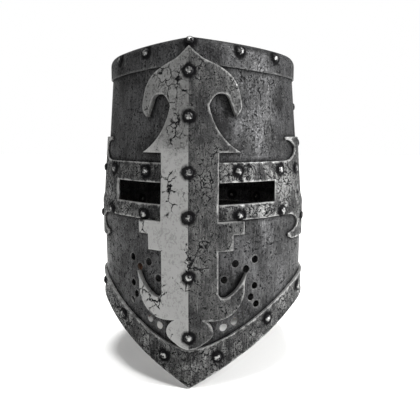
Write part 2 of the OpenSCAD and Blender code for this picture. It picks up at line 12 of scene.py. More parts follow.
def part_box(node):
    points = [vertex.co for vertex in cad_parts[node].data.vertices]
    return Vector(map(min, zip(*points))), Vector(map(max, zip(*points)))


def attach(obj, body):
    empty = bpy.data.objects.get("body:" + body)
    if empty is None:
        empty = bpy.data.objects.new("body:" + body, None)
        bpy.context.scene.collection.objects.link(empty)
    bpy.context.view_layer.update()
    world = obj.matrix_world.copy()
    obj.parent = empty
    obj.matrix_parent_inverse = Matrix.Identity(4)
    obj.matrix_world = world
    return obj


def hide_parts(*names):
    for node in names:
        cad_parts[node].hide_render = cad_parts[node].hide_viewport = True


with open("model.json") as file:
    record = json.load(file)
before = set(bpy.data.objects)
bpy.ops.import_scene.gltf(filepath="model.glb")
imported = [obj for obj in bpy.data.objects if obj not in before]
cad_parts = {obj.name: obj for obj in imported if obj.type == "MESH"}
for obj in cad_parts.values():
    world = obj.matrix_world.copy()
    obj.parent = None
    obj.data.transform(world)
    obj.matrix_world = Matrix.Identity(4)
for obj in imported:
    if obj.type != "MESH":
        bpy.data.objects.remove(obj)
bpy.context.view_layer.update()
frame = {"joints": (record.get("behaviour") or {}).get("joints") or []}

MM = 0.001

# ---------------------------------------------------------------- the camera
# Stands in front and a little to the wearer's left, level with the sight, and looks slightly down.
view = bpy.data.cameras.new("view")
view.lens = 46.29
view.sensor_width = 36.0
camera = bpy.data.objects.new("camera", view)
camera.location = (0.0765, -0.666, 0.264)
camera.rotation_euler = (math.radians(82), 0, math.radians(5.9))
bpy.context.collection.objects.link(camera)
bpy.context.scene.camera = camera

# ---------------------------------------------------------------- the shell's plan and heights, in mm
# The plan is four arcs a side, tangent to each other: front face, cheek, side and back.
face_low, face_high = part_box("face_plate")
HALF_WIDTH = face_high[0] / MM
RIDGE_FORWARD = 124.0
MIDDLE = face_low[1] / MM + RIDGE_FORWARD
FRONT_R, CHEEK_R, SIDE_R, BACK_R = 185.0, 80.0, 190.0, 95.0
RAKE = math.radians(15)
RIDGE_ROUND = 2.2

front_c = (-FRONT_R * math.sin(RAKE), RIDGE_FORWARD - FRONT_R * math.cos(RAKE))
cheek_x = HALF_WIDTH - CHEEK_R
cheek_c = (cheek_x, front_c[1] + math.sqrt((FRONT_R - CHEEK_R) ** 2 - (cheek_x - front_c[0]) ** 2))
JOIN = math.atan2(cheek_c[1] - front_c[1], cheek_c[0] - front_c[0])
side_c = (HALF_WIDTH - SIDE_R, cheek_c[1])
back_c = (0.0, side_c[1] - math.sqrt((SIDE_R - BACK_R) ** 2 - side_c[0] ** 2))
BACK = math.atan2(back_c[1] - side_c[1], back_c[0] - side_c[0])
FRONT_END, CHEEK_END, SIDE_END, BACK_END = 6.0, 10.0, 17.0, 24.0
# Lengths along the wall from the ridge to the end of each arc, beside the CAD's stations there
REACH = np.cumsum([0, FRONT_R * (math.pi / 2 - RAKE - JOIN), CHEEK_R * JOIN, -SIDE_R * BACK,
                   BACK_R * (math.pi / 2 + BACK)])
STATIONS = [0, FRONT_END, CHEEK_END, SIDE_END, BACK_END]
ROUND = REACH[4]

PLATE_T, GAP, BAND_T = 1.6, 0.3, 2.2
REAR_SHIFT = PLATE_T + GAP
SKULL_FOOT, FACE_TOP = 166.0, 186.0
TAPER = 10.6
TAPER_START, TAPER_END = 186.0, 325.0
BAND_STEP = (186.5, 198.0)
BAND_LOW, BAND_HIGH = 176.0, 235.0
EAR_LOW, EAR_HIGH = 148.0, 261.0
SLOT_IN, SLOT_OUT, SLOT_LOW, SLOT_HIGH = 27.0, 87.4, 192.2, 214.5
CROSS_PROUD, CROSS_OVER_SKULL = 6.5, 7.0
RIM_PROUD, RIM_WIDTH, RIM_PEAK, LIP = 2.6, 28.0, 13.5, 0.8
CROWN_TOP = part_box("crown_plate")[1][2] / MM
SHOULDER_Z, SHOULDER_FALL, SHOULDER_R = 349.5, 0.085, 11.0
FLANGE = 15.0
SIDE_EDGE, REAR_FALL, REAR_LEVEL = 77.0, 11.0, 15.5


def along(station):
    """Length along the wall, in mm, of a CAD station."""
    return float(np.interp(abs(station), STATIONS, REACH)) * (1 if station >= 0 else -1)


def station_of(s):
    """The CAD station, without its sign, of a length along the wall."""
    s = np.asarray(s)
    return np.interp(np.abs(np.where(s > ROUND, s - 2 * ROUND, s)), REACH, STATIONS)


def dents(s, z):
    """Slow unevenness of hand-raised plate, always inwards, the same for every layer."""
    return np.array([0.45 * (noise.noise(Vector((a * 0.02, b * 0.016, 3.1))) - 0.75) for a, b in zip(s, z)])


def wall(s, d, z, dented=True):
    """Points of the wall: length along it from the ridge, distance out from the face plate, height."""
    s, d, z = np.broadcast_arrays(np.atleast_1d(np.asarray(s, float)), np.asarray(d, float),
                                  np.asarray(z, float))
    s = np.where(s > ROUND, s - 2 * ROUND, s)
    if dented:
        d = d + dents(np.abs(s) + 40.0 * (s < 0), z)
    a = np.abs(s)
    start = np.arccos(-front_c[0] / (FRONT_R + d))
    turn = [start - (start - JOIN) * a / REACH[1], JOIN * (REACH[2] - a) / (REACH[2] - REACH[1]),
            BACK * (a - REACH[2]) / (REACH[3] - REACH[2]),
            BACK - (math.pi / 2 + BACK) * (a - REACH[3]) / (REACH[4] - REACH[3])]
    x, f = np.zeros_like(a), np.zeros_like(a)
    for k, (c, r) in enumerate(((front_c, FRONT_R), (cheek_c, CHEEK_R), (side_c, SIDE_R), (back_c, BACK_R))):
        here = (a >= REACH[k]) & (a <= REACH[k + 1] + 1e-6)
        x[here] = c[0] + (r + d[here]) * np.cos(turn[k][here])
        f[here] = c[1] + (r + d[here]) * np.sin(turn[k][here])
    soft = x < RIDGE_ROUND
    soft &= a < REACH[1]
    f[soft] -= math.tan(RAKE) * ((x[soft] ** 2 + RIDGE_ROUND ** 2) / (2 * RIDGE_ROUND) - x[soft])
    return np.stack([np.where(s < 0, -x, x), MIDDLE - f, z], axis=1)


def outward(s):
    """Level direction straight out of the wall."""
    s = s - 2 * ROUND if s > ROUND else s
    if abs(s) < 0.01:
        return Vector((0, -1, 0))
    p, q = wall(s, [0.0], 0, False)[0], wall(s, [1.0], 0, False)[0]
    return Vector(q - p).normalized()


def from_front(x, d):
    """Length along the wall of a point that the front view shows at x, on a surface d out."""
    a, start = abs(x), math.acos(-front_c[0] / (FRONT_R + d))
    if a < front_c[0] + (FRONT_R + d) * math.cos(JOIN):
        turn = math.acos((a - front_c[0]) / (FRONT_R + d))
        s = REACH[1] * (start - turn) / (start - JOIN)
    else:
        turn = math.acos(min(1.0, (a - cheek_x) / (CHEEK_R + d)))
        s = REACH[1] + (REACH[2] - REACH[1]) * (JOIN - turn) / JOIN
    return s if x >= 0 else -s


def skull_d(z):
    return -REAR_SHIFT - TAPER * (np.clip(z, TAPER_START,
                                          TAPER_END) - TAPER_START) / (TAPER_END - TAPER_START)


def over_face(z, proud, over_skull):
    """A layer that lies on the face plate and steps in to follow the skull plate above it."""
    high = skull_d(BAND_STEP[1]) + over_skull
    t = np.clip((z - BAND_STEP[0]) / (BAND_STEP[1] - BAND_STEP[0]), 0, 1)
    t = t * t * (3 - 2 * t)
    return np.where(z >= BAND_STEP[1], skull_d(z) + over_skull, proud + (high - proud) * t)


def band_d(z):
    return over_face(z, GAP + BAND_T, 3.0)


def cross_d(z):
    return over_face(z, CROSS_PROUD, CROSS_OVER_SKULL)


SKULL_LEAN = math.atan(TAPER / (TAPER_END - TAPER_START))
CROWN_OUT = float(skull_d(TAPER_END)) + GAP + PLATE_T
EDGE_SLOPE = 0.515


def shoulder(s):
    return SHOULDER_Z - SHOULDER_FALL * np.abs(wall(s, CROWN_OUT, 0, False)[:, 0])


def crown_d(s):
    """The crown's flange, which steps in behind the side seam."""
    return CROWN_OUT - REAR_SHIFT * np.clip(station_of(s) - 11, 0, 1)


def low_edge(s):
    """Height of the helm's lower edge."""
    v = station_of(s)
    cheek = EDGE_SLOPE * REACH[1]
    rise = SIDE_EDGE - (SIDE_EDGE - cheek) * ((CHEEK_END - v) / (CHEEK_END - FRONT_END)) ** 2
    fall = SIDE_EDGE * (0.5 + 0.5 * np.cos(math.pi * (v - REAR_FALL) / (REAR_LEVEL - REAR_FALL)))
    return np.select([v < FRONT_END, v < CHEEK_END, v < REAR_FALL, v < REAR_LEVEL],
                     [cheek * v / FRONT_END, rise, SIDE_EDGE, fall], 0.0)


def rim_top(s):
    """Height of the rim's upper edge, which peaks on the ridge."""
    return low_edge(s) + RIM_WIDTH + RIM_PEAK * np.exp(-station_of(s) * REACH[1] / FRONT_END / 30)


# ---------------------------------------------------------------- rivets
# Each is (length along the wall, outer distance, height, lean, innermost distance)
SEAM = along(11)
RIDGE_SEAT = 1.3
LINER_Z, BAND_LOWER_Z, EAR_LOWER_Z, EAR_UPPER_Z = 226, 181, 171, 254
SEAM_UPPER_Z, SEAM_LOWER_Z, WAIST_Z, STRAP_Z = 296, 122, 176, 150
BACK_INNER = -REAR_SHIFT - PLATE_T
LINER_T, LINER_OUT, WASHER_T = 2.5, BACK_INNER - 0.4, 0.8
LINER_STACK = LINER_T + GAP + WASHER_T - LINER_OUT


def mirrored(rows):
    return [(side * r[0],) + tuple(r[1:]) for r in rows for side in (1, -1)]


def on_shoulder(s, turn):
    turn = math.radians(turn)
    d = CROWN_OUT - SHOULDER_R * (1 - math.cos(turn))
    return (s, d, float(shoulder(s)[0]) + SHOULDER_R * math.sin(turn), turn, d - 4.6)


def on_flange(v):
    s = along(v)
    d = float(crown_d(s))
    return (s, d, float(shoulder(s)[0]) - 7, 0, d - 2 * PLATE_T - GAP)


def on_plate(s, d, z, inner):
    """A rivet through plates that lean as the skull does, from d out to inner."""
    return (s, float(d), z, SKULL_LEAN, float(inner))


def on_liner(s, d):
    return on_plate(s, d, LINER_Z, skull_d(LINER_Z) - LINER_STACK)


crown_rivets = [on_shoulder(0, 37.5)] + mirrored(
    [on_shoulder(from_front(49, CROWN_OUT), 12.5), on_shoulder(along(5.2), 12.5)]
    + [on_flange(v) for v in (13.5, 17.5, 21.5)])
ridge_rivets = [(0, float(cross_d(z)) - RIDGE_SEAT, z, SKULL_LEAN if 190 < z < 300 else 0,
                 float(skull_d(z)) - 3.5)
                for z in (56, 120, 181, LINER_Z, 281.4, 326)]
BAND_VIEW = (49.3, 93.7)
band_rivets = mirrored(
    [on_liner(s, band_d(LINER_Z)) for s in [from_front(x, 0) for x in BAND_VIEW] + [along(7.5), along(11.5)]]
    + [(from_front(x, 0), float(band_d(BAND_LOWER_Z)), BAND_LOWER_Z, 0, BACK_INNER) for x in BAND_VIEW]
    + [(along(8.5), float(band_d(EAR_LOWER_Z)), EAR_LOWER_Z, 0, BACK_INNER),
       (along(11.5), float(band_d(EAR_LOWER_Z)), EAR_LOWER_Z, 0, BACK_INNER - REAR_SHIFT),
       on_plate(along(10.5), band_d(EAR_UPPER_Z), EAR_UPPER_Z, skull_d(EAR_UPPER_Z) + BACK_INNER)])
rim_rivets = mirrored(
    [(s, RIM_PROUD, float(low_edge(s)) + RIM_WIDTH * 0.6, 0, -PLATE_T)
     for s in (from_front(27.8, 0), from_front(78.9, 0), along(7.5))]
    + [(s, RIM_PROUD - REAR_SHIFT, float(low_edge(s)) + RIM_WIDTH * 0.51, 0, BACK_INNER)
       for s in (along(12.5), along(16.5), along(20.5))])
seam_rivets = mirrored([
    on_plate(along(10.5), skull_d(SEAM_UPPER_Z), SEAM_UPPER_Z, skull_d(SEAM_UPPER_Z) + BACK_INNER),
    (along(11.5), 0, SEAM_LOWER_Z, 0, BACK_INNER)])
waist_rivets = [(ROUND, -REAR_SHIFT, WAIST_Z, 0, BACK_INNER - REAR_SHIFT)] + mirrored(
    [(along(v), -REAR_SHIFT, WAIST_Z, 0, BACK_INNER - REAR_SHIFT) for v in (14.5, 17.5, 21.5)])
rear_liner_rivets = mirrored([on_liner(along(v), skull_d(LINER_Z) - REAR_SHIFT) for v in (15.5, 19.5, 22.5)])
STRAP_D, STRAP_T, STRAP_W = BACK_INNER - 2 * GAP, 2.4, 18.0
strap_rivets = mirrored([(along(13.5), -REAR_SHIFT, STRAP_Z, 0, STRAP_D - STRAP_T - GAP - WASHER_T)])
shell_rivets = (crown_rivets + ridge_rivets + band_rivets + rim_rivets + seam_rivets + waist_rivets
                + rear_liner_rivets + strap_rivets)

# ---------------------------------------------------------------- making meshes
RIDGE_COLUMNS = [c * RIDGE_ROUND for c in (-1.3, -0.8, -0.4, 0, 0.4, 0.8, 1.3)]
SHARP = math.radians(38)


def finish_mesh(obj):
    mesh = obj.data
    mesh.polygons.foreach_set("use_smooth", [True] * len(mesh.polygons))
    mesh.set_sharp_from_angle(angle=SHARP)
    mesh.update()
    return obj


def baked(obj):
    """Turns an object with its modifiers into a plain mesh."""
    graph = bpy.context.evaluated_depsgraph_get()
    mesh = bpy.data.meshes.new_from_object(obj.evaluated_get(graph), preserve_all_data_layers=True,
                                           depsgraph=graph)
    obj.modifiers.clear()
    obj.data = mesh
    return obj


def piece(name, points, faces, bevel=0.0, **values):
    """A mesh from points in mm, with a rounded edge if asked, and one number a point for each value."""
    mesh = bpy.data.meshes.new(name)
    mesh.from_pydata((np.asarray(points) * MM).tolist(), [], faces)
    mesh.validate()
    for key, numbers in values.items():
        mesh.attributes.new(key, "FLOAT", "POINT").data.foreach_set("value",
                                                                    np.asarray(numbers, dtype=np.float32))
    obj = bpy.data.objects.new(name, mesh)
    bpy.context.collection.objects.link(obj)
    if bevel:
        rounder = obj.modifiers.new("edges", "BEVEL")
        rounder.width = bevel * MM
        rounder.segments = 2
        rounder.limit_method = "ANGLE"
        rounder.angle_limit = math.radians(50)
        baked(obj)
    return finish_mesh(obj)


def fine(loop, step=2.6, chip=0.0, seed=0.0):
    """A closed outline in short steps; chip moves it in and out a little, as a hand-cut edge does."""
    out = []
    for (x0, y0), (x1, y1) in zip(loop, loop[1:] + loop[:1]):
        n = max(1, int(math.hypot(x1 - x0, y1 - y0) / step + 0.5))
        nx, ny = (y1 - y0), -(x1 - x0)
        size = math.hypot(nx, ny) or 1.0
        for i in range(n):
            x, y = x0 + (x1 - x0) * i / n, y0 + (y1 - y0) * i / n
            w = chip * noise.noise(Vector((x * 0.23, y * 0.23, seed))) if i else 0.0
            out.append((x + w * nx / size, y + w * ny / size))
    return out


def circle(x, y, r, n=20):
    return [(x + r * math.cos(2 * math.pi * i / n), y + r * math.sin(2 * math.pi * i / n)) for i in range(n)]


def inside(points, loops):
    """Even-odd test of points against closed loops."""
    hit = np.zeros(len(points), bool)
    px, py = points[:, 0], points[:, 1]
    for loop in loops:
        for (x0, y0), (x1, y1) in zip(loop, loop[1:] + loop[:1]):
            if y0 != y1:
                cross = (y0 > py) != (y1 > py)
                hit ^= cross & (px < (x1 - x0) * (py - y0) / (y1 - y0) + x0)
    return hit


def distance(points, loops):
    """Distance from each point to the nearest of the loops' edges."""
    best = np.full(len(points), 1e9)
    for loop in loops:
        a = np.array(loop)
        b = np.roll(a, -1, axis=0)
        for p, q in zip(a, b):
            v = q - p
            t = np.clip(((points - p) @ v) / max(v @ v, 1e-9), 0, 1)
            best = np.minimum(best, np.hypot(*(points - p - t[:, None] * v).T))
    return best


rivet_places = np.array([wall(r[0], r[1], r[2], False)[0] for r in shell_rivets])


def rivet_distance(points):
    return np.min(np.linalg.norm(points[:, None, :] - rivet_places[None], axis=2), axis=1)


def sheet(name, outline, holes, outer, inner, bevel=0.4, pitch=3.6, ridge=False, covers=(), place=wall):
    """Cut from flat stock: a flat outline and holes in (along the wall, height), then bent to its place.
    Its surfaces are outer and inner, distances out as functions of (along, height)."""
    loops = [outline] + holes
    low, high = np.min(outline, axis=0), np.max(outline, axis=0)
    rows = int((high[1] - low[1]) / (pitch * 0.866)) + 1
    columns = int((high[0] - low[0]) / pitch) + 1
    grid = [(low[0] + pitch * (i + 0.5 * (j % 2)), low[1] + pitch * 0.866 * j)
            for j in range(rows) for i in range(columns)]
    if ridge:
        near = pitch * 0.5 + RIDGE_COLUMNS[-1]
        grid = [p for p in grid if abs(p[0]) > near]
        grid += [(c, low[1] + pitch * 0.9 * j) for j in range(rows) for c in RIDGE_COLUMNS]
    grid = np.array(grid)
    grid = grid[inside(grid, loops)]
    grid = grid[distance(grid, loops) > pitch * 0.42]
    points, edges = [], []
    for loop in loops:
        start = len(points)
        points += loop
        edges += [(start + i, start + (i + 1) % len(loop)) for i in range(len(loop))]
    points += [tuple(p) for p in grid]
    flat, _, triangles, _, _, _ = delaunay_2d_cdt([Vector(p) for p in points], edges, [], 0, 1e-5)
    flat = np.array([(p.x, p.y) for p in flat])
    triangles = np.array([t for t in triangles if len(t) == 3])
    triangles = triangles[inside(flat[triangles].mean(axis=1), loops)]
    a, b, c = (flat[triangles[:, k]] for k in range(3))
    turned = ((b - a)[:, 0] * (c - a)[:, 1] - (b - a)[:, 1] * (c - a)[:, 0]) < 0
    triangles[turned] = triangles[turned][:, ::-1]
    sides = dict.fromkeys((int(t[i]), int(t[(i + 1) % 3])) for t in triangles for i in range(3))
    rim = [e for e in sides if (e[1], e[0]) not in sides]
    n = len(flat)
    s, z = flat[:, 0], flat[:, 1]
    shell = np.concatenate([place(s, outer(s, z), z), place(s, inner(s, z), z)])
    faces = triangles.tolist() + (triangles[:, ::-1] + n).tolist() + [(q, p, p + n, q + n) for p, q in rim]
    worn = distance(flat, loops)
    under = distance(flat, [fine(c, 6) for c in covers]) if covers else np.full(n, 60.0)
    near = rivet_distance(shell[:n])
    return piece(name, shell, faces, bevel, edge=np.tile(worn, 2), cover=np.tile(under, 2),
                 rivet=np.tile(near, 2))


def ring_faces(columns, rows, closed_columns, closed_rows):
    """Quads of a grid stored column by column, facing out when rows run up the outside."""
    faces = []
    for i in range(columns if closed_columns else columns - 1):
        for j in range(rows if closed_rows else rows - 1):
            a, b = i * rows + j, ((i + 1) % columns) * rows + j
            k = (j + 1) % rows - j
            faces.append((a, b, b + k, a + k))
    return faces


def strip(name, places, section, bevel=0.0, closed=False, covers=()):
    """A bent strip: section(s) gives its closed outline [(out, height)...], listed up the outside."""
    sections = [section(s) for s in places]
    rows = len(sections[0])
    s = np.repeat(places, rows)
    d = np.array([p[0] for q in sections for p in q])
    z = np.array([p[1] for q in sections for p in q])
    faces = ring_faces(len(places), rows, closed, True)
    if not closed:
        last = (len(places) - 1) * rows
        faces += [tuple(range(rows)), tuple(last + j for j in reversed(range(rows)))]
    low = np.repeat([min(p[1] for p in q) for q in sections], rows)
    high = np.repeat([max(p[1] for p in q) for q in sections], rows)
    shell = wall(s, d, z)
    return piece(name, shell, faces, bevel, edge=np.minimum(z - low, high - z), cover=np.full(len(z), 60.0),
                 rivet=rivet_distance(shell))


def spaced(s0, s1, step=2.6):
    """Places along the wall, closer at the ridge where the strip turns."""
    inner = [s0 + (s1 - s0) * i / int((s1 - s0) / step) for i in range(int((s1 - s0) / step) + 1)]
    if s0 < 0 < s1:
        inner = [s for s in inner if abs(s) > RIDGE_COLUMNS[-1] + 0.6] + RIDGE_COLUMNS
    return np.array(sorted(inner))


# ---------------------------------------------------------------- outlines
def rectangle(s0, s1, z0, z1):
    return [(s0, z0), (s1, z0), (s1, z1), (s0, z1)]


def between(low, high, s0, s1, step=3.0):
    """Outline between two height functions."""
    places = list(spaced(s0, s1, step))
    return [(s, float(low(s))) for s in places] + [(s, float(high(s))) for s in reversed(places)]


def from_view(loop, depth):
    """A front-view outline laid on the wall."""
    return [(from_front(x, float(depth(z))), z) for x, z in fine(loop, 2.4)]


def slot(side, depth, chip):
    loop = [(SLOT_IN, SLOT_LOW), (SLOT_OUT, SLOT_LOW), (SLOT_OUT, SLOT_HIGH), (SLOT_IN, SLOT_HIGH)]
    return fine(from_view([(side * x, z) for x, z in (loop if side > 0 else loop[::-1])], depth), 2.6, chip,
                side)


def bend(a, b, c, n=8):
    """Points of a curve from a to c that leans towards b, without its first point."""
    a, b, c = np.array(a), np.array(b), np.array(c)
    return [tuple(a * (1 - t) ** 2 + b * 2 * t * (1 - t) + c * t * t) for t in (i / n for i in range(1,
                                                                                                     n + 1))]


ARM = 29.8
CROSS_TIP = 350.0
half_cross = ([(0, 43.4)] + bend((0, 43.4), (9, 43.6), (14.5, 48.6)) + bend((14.5, 48.6), (25.4, 54),
                                                                            (24.8, 61))
              + bend((24.8, 61), (23.5, 69), (15.5, 73.5)) + bend((15.5, 73.5), (36, 69.5), (46, 79))
              + bend((46, 79), (55, 87.5), (56.6, 100)) + [(56.8, 110), (58.6, 120)]
              + bend((58.6, 120), (51, 100.5), (38, 95.3)) + bend((38, 95.3), (32.5, 93.5), (ARM, 100), 5)
              + [(ARM, 145.1), (44.7, 145.1), (44.7, 161.6), (55.8, 161.6), (55.8, BAND_LOW - 0.6),
                 (ARM, BAND_LOW - 0.6), (ARM, 245.4), (51.4, 245.4)]
              + bend((51.4, 245.4), (26, 261), (19.8, 292), 12) + bend((19.8, 292), (24, 304.4),
                                                                       (31.5, 304.4))
              + bend((31.5, 304.4), (39.5, 304), (40.6, 297), 6) + bend((40.6, 297), (43.5, 290),
                                                                        (46.4, 281.5), 4)
              + bend((46.4, 281.5), (54.5, 289), (50.8, 299)) + bend((50.8, 299), (49, 316), (38, 325.5))
              + bend((38, 325.5), (29, 332), (15, 337.6)) + bend((15, 337.6), (8.5, 341.5), (0, CROSS_TIP),
                                                                 6))
cross_outline = from_view(half_cross + [(-x, z) for x, z in half_cross[-2:0:-1]], cross_d)

# The band, then its ends: tall ears whose corners curl over hooked recesses
EAR_END = along(12.5)
HOOK = (98.0, 11.5)
FOOT_HOOK = (103.0, 10.5)


def arc(x, z, r, a0, a1, n=14):
    turns = [math.radians(a0 + (a1 - a0) * i / n) for i in range(n + 1)]
    return [(x + r * math.cos(a), z + r * math.sin(a)) for a in turns]


ear_top = arc(HOOK[0], BAND_HIGH + HOOK[1], HOOK[1], -90, 90)
ear_foot = arc(FOOT_HOOK[0], BAND_LOW - FOOT_HOOK[1], FOOT_HOOK[1], -90, 90)
half_band = ([(0, BAND_LOW)] + [(from_front(x, float(band_d(z))), z) for x, z in ear_foot[::-1]]
             + [(from_front(FOOT_HOOK[0], 2.5), EAR_LOW + 3.0), (from_front(FOOT_HOOK[0] + 4, 2.5), EAR_LOW),
                (EAR_END, EAR_LOW), (EAR_END, EAR_HIGH), (from_front(HOOK[0] + 3, -1), EAR_HIGH)]
             + [(from_front(x, float(band_d(z))), z) for x, z in ear_top[::-1]] + [(0, BAND_HIGH)])
band_outline = half_band + [(-s, z) for s, z in half_band[-2:0:-1]]
breaths = [(66.6, 131.7), (46.3, 129.6), (57.5, 122.5), (66.6, 102.9), (68.3, 82.4), (62.6, 91), (45.6, 66.8),
           (34.2, 62), (35, 113.4)]


# ---------------------------------------------------------------- steel pieces
def layer(depth, more=0.0):
    return lambda s, z: depth(z) + more


def flat_layer(d):
    return lambda s, z: np.full_like(s, d)


def skull_top(s):
    return float(shoulder(s)[0]) + 1.5


def flange_edge(s):
    return float(shoulder(s)[0]) - FLANGE


def skull_foot(s):
    return SKULL_FOOT


def face_top(s):
    return FACE_TOP


def hem(s):
    """Lower edge of the face and neck plates, just inside the rim's own edge."""
    return float(low_edge(s)) + 1.2


front_skull = sheet("skull_front", between(skull_foot, skull_top, -SEAM, SEAM),
                    [slot(side, skull_d, 0.0) for side in (1, -1)],
                    layer(skull_d), layer(skull_d, -PLATE_T), ridge=True,
                    covers=[cross_outline, band_outline, between(flange_edge, skull_top, -SEAM, SEAM)])
rear_a, rear_b = along(10), 2 * ROUND - along(10)
back_skull = sheet("skull_back", between(skull_foot, skull_top, rear_a, rear_b), [],
                   layer(skull_d, -REAR_SHIFT), layer(skull_d, -REAR_SHIFT - PLATE_T),
                   covers=[rectangle(rear_a - 9, SEAM, 100, 360), rectangle(rear_a - 9, rear_b + 9, 345, 352),
                           rectangle(rear_a - 9, rear_b + 9, 100, FACE_TOP),
                           rectangle(2 * ROUND - SEAM, rear_b + 9, 100, 360)])
FACE_END = along(12)
# Punched by hand, so no two breaths are quite the same size
breath_holes = [circle(from_front(side * x, 0), z, 4.1 + 0.25 * math.sin(x * z), 18)
                for x, z in breaths for side in (1, -1)]
face = sheet("face_plate_raised", between(hem, face_top, -FACE_END, FACE_END),
             breath_holes, flat_layer(0.0), flat_layer(-PLATE_T), ridge=True,
             covers=[cross_outline, band_outline, between(low_edge, rim_top, -FACE_END, FACE_END)])
neck_a = along(11.05)
neck = sheet("neck_plate_raised", between(hem, face_top, neck_a, 2 * ROUND - neck_a),
             [], flat_layer(-REAR_SHIFT), flat_layer(-REAR_SHIFT - PLATE_T),
             covers=[between(low_edge, rim_top, FACE_END, 2 * ROUND - FACE_END)])
band = sheet("sight_band_cut", fine(band_outline, 2.6, 0.45, 5.0),
             [slot(side, band_d, 0.35) for side in (1, -1)],
             layer(band_d), layer(band_d, -BAND_T), bevel=0.55, ridge=True, covers=[cross_outline])


def cross_under(s, z):
    on_band = (z > BAND_LOW - 0.5) & (z < BAND_HIGH + 0.5)
    on_flange = z > SHOULDER_Z - FLANGE - 6
    return np.select([on_band, on_flange], [band_d(z) + GAP, CROWN_OUT + GAP],
                     np.where(z < BAND_LOW, GAP, skull_d(z) + GAP))


cross = sheet("cross_forged", fine(cross_outline, 2.2, 0.3, 9.0), [], layer(cross_d), cross_under,
              bevel=0.8, pitch=3.2, ridge=True)


def rim_section(shift):
    inner, flat, lip = GAP - shift, RIM_PROUD - shift, RIM_PROUD + LIP - shift

    def section(s):
        z0, z1 = float(low_edge(s)), float(rim_top(s))
        mid = [(flat, z0 + 5 + (z1 - z0 - 9.5) * i / 4) for i in range(5)]
        return ([(inner, z0), (lip - 0.7, z0), (lip, z0 + 0.8), (lip, z0 + 2.8), (flat + 0.2, z0 + 4.2)] + mid
                + [(flat + 0.3, z1 - 3.8), (lip, z1 - 2.8), (lip, z1 - 0.7), (lip - 0.6, z1), (inner, z1)])
    return section


front_rim = strip("rim_front", spaced(-FACE_END, FACE_END), rim_section(0))
rear_rim = strip("rim_rear", spaced(FACE_END + 0.4, 2 * ROUND - FACE_END - 0.4), rim_section(REAR_SHIFT))


def crown():
    """Dished top plate with a turned-down flange."""
    places = spaced(-ROUND + 1.3, ROUND - 1.3)
    turns = [math.radians(t) for t in (0, 15, 30, 45, 60, 75)]
    shrink = [0.95, 0.88, 0.78, 0.66, 0.53, 0.4, 0.27, 0.14]
    centre = np.array([0.0, MIDDLE - 0.5 * (RIDGE_FORWARD + back_c[1] - BACK_R)])
    skins, edges = [], []
    for t in (0.0, PLATE_T):
        top = CROWN_TOP - 0.2 - t
        columns = []
        for s in places:
            z = float(shoulder(s)[0])
            chip = 0.35 * noise.noise(Vector((s * 0.2, 2.2, 0.5)))
            out = float(crown_d(s))
            rows = [(out - t, z - FLANGE + chip), (out - t, z - FLANGE * 0.75), (out - t, z - FLANGE * 0.4)]
            rows += [(out - SHOULDER_R + (SHOULDER_R - t) * math.cos(a), z + (SHOULDER_R - t) * math.sin(a))
                     for a in turns]
            pts = wall([s] * len(rows), [r[0] for r in rows], [r[1] for r in rows])
            last = pts[-1]
            for k in shrink:
                flat = centre + (last[:2] - centre) * k
                height = top - (top - last[2]) * k ** 1.7
                height += 0.5 * noise.noise(Vector((flat[0] * 0.02, flat[1] * 0.02,
                                                    8))) * (1 - k) - 0.3 * (1 - k)
                pts = np.vstack([pts, [flat[0], flat[1], height]])
            columns.append(pts)
            edges.append([0, FLANGE * 0.25, FLANGE * 0.6] + [FLANGE + 4 * k for k in range(len(pts) - 3)])
        skins.append(columns)
    n, m = len(places), len(skins[0][0])
    poles = [[*centre, CROWN_TOP - 0.5], [*centre, CROWN_TOP - 0.5 - PLATE_T]]
    points = np.vstack([np.vstack(skins[0]), np.vstack(skins[1]), poles])
    out = ring_faces(n, m, True, False)
    faces = out + [tuple(i + n * m for i in f[::-1]) for f in out]
    for i in range(n):
        a, b = i * m, ((i + 1) % n) * m
        faces.append((a, a + n * m, b + n * m, b))
        faces.append((a + m - 1, b + m - 1, 2 * n * m))
        faces.append((b + m - 1 + n * m, a + m - 1 + n * m, 2 * n * m + 1))
    worn = np.append(np.ravel(edges), [60, 60])
    return piece("crown_dished", points, faces, 0.45, edge=worn, cover=np.full(len(points), 60.0),
                 rivet=rivet_distance(points))


crown_plate = crown()


# ---------------------------------------------------------------- materials
def colour(code):
    """An sRGB hex colour as linear RGBA."""
    parts = [int(code[i:i + 2], 16) / 255 for i in (1, 3, 5)]
    return tuple(p / 12.92 if p <= 0.04045 else ((p + 0.055) / 1.055) ** 2.4 for p in parts) + (1.0,)


def add(tree, kind, links=None, **settings):
    """Adds a node. Settings name its properties, or its sockets by name or number as S_name or S0."""
    node = tree.nodes.new(kind)
    for key, value in settings.items():
        if key.startswith("S_"):
            node.inputs[key[2:].replace("_", " ")].default_value = value
        elif key[0] == "S" and key[1:].isdigit():
            node.inputs[int(key[1:])].default_value = value
        else:
            setattr(node, key, value)
    for socket, source in (links or {}).items():
        tree.links.new(source, node.inputs[socket])
    return node


def blank(name):
    """A material with an empty tree, and the place on the piece to draw its patterns at."""
    material = bpy.data.materials.new(name)
    material.use_nodes = True
    tree = material.node_tree
    tree.nodes.clear()
    return material, tree, add(tree, "ShaderNodeTexCoord").outputs["Object"]


def stored(tree, label):
    """A number that the mesh keeps at each point."""
    return add(tree, "ShaderNodeAttribute", attribute_name=label).outputs["Fac"]


def bumped(tree, height, strength, depth):
    return add(tree, "ShaderNodeBump", {"Height": height}, S_Strength=strength,
               S_Distance=depth * MM).outputs[0]


def surface(tree, links, **settings):
    shader = add(tree, "ShaderNodeBsdfPrincipled", links, **settings)
    add(tree, "ShaderNodeOutputMaterial", {"Surface": shader.outputs[0]})


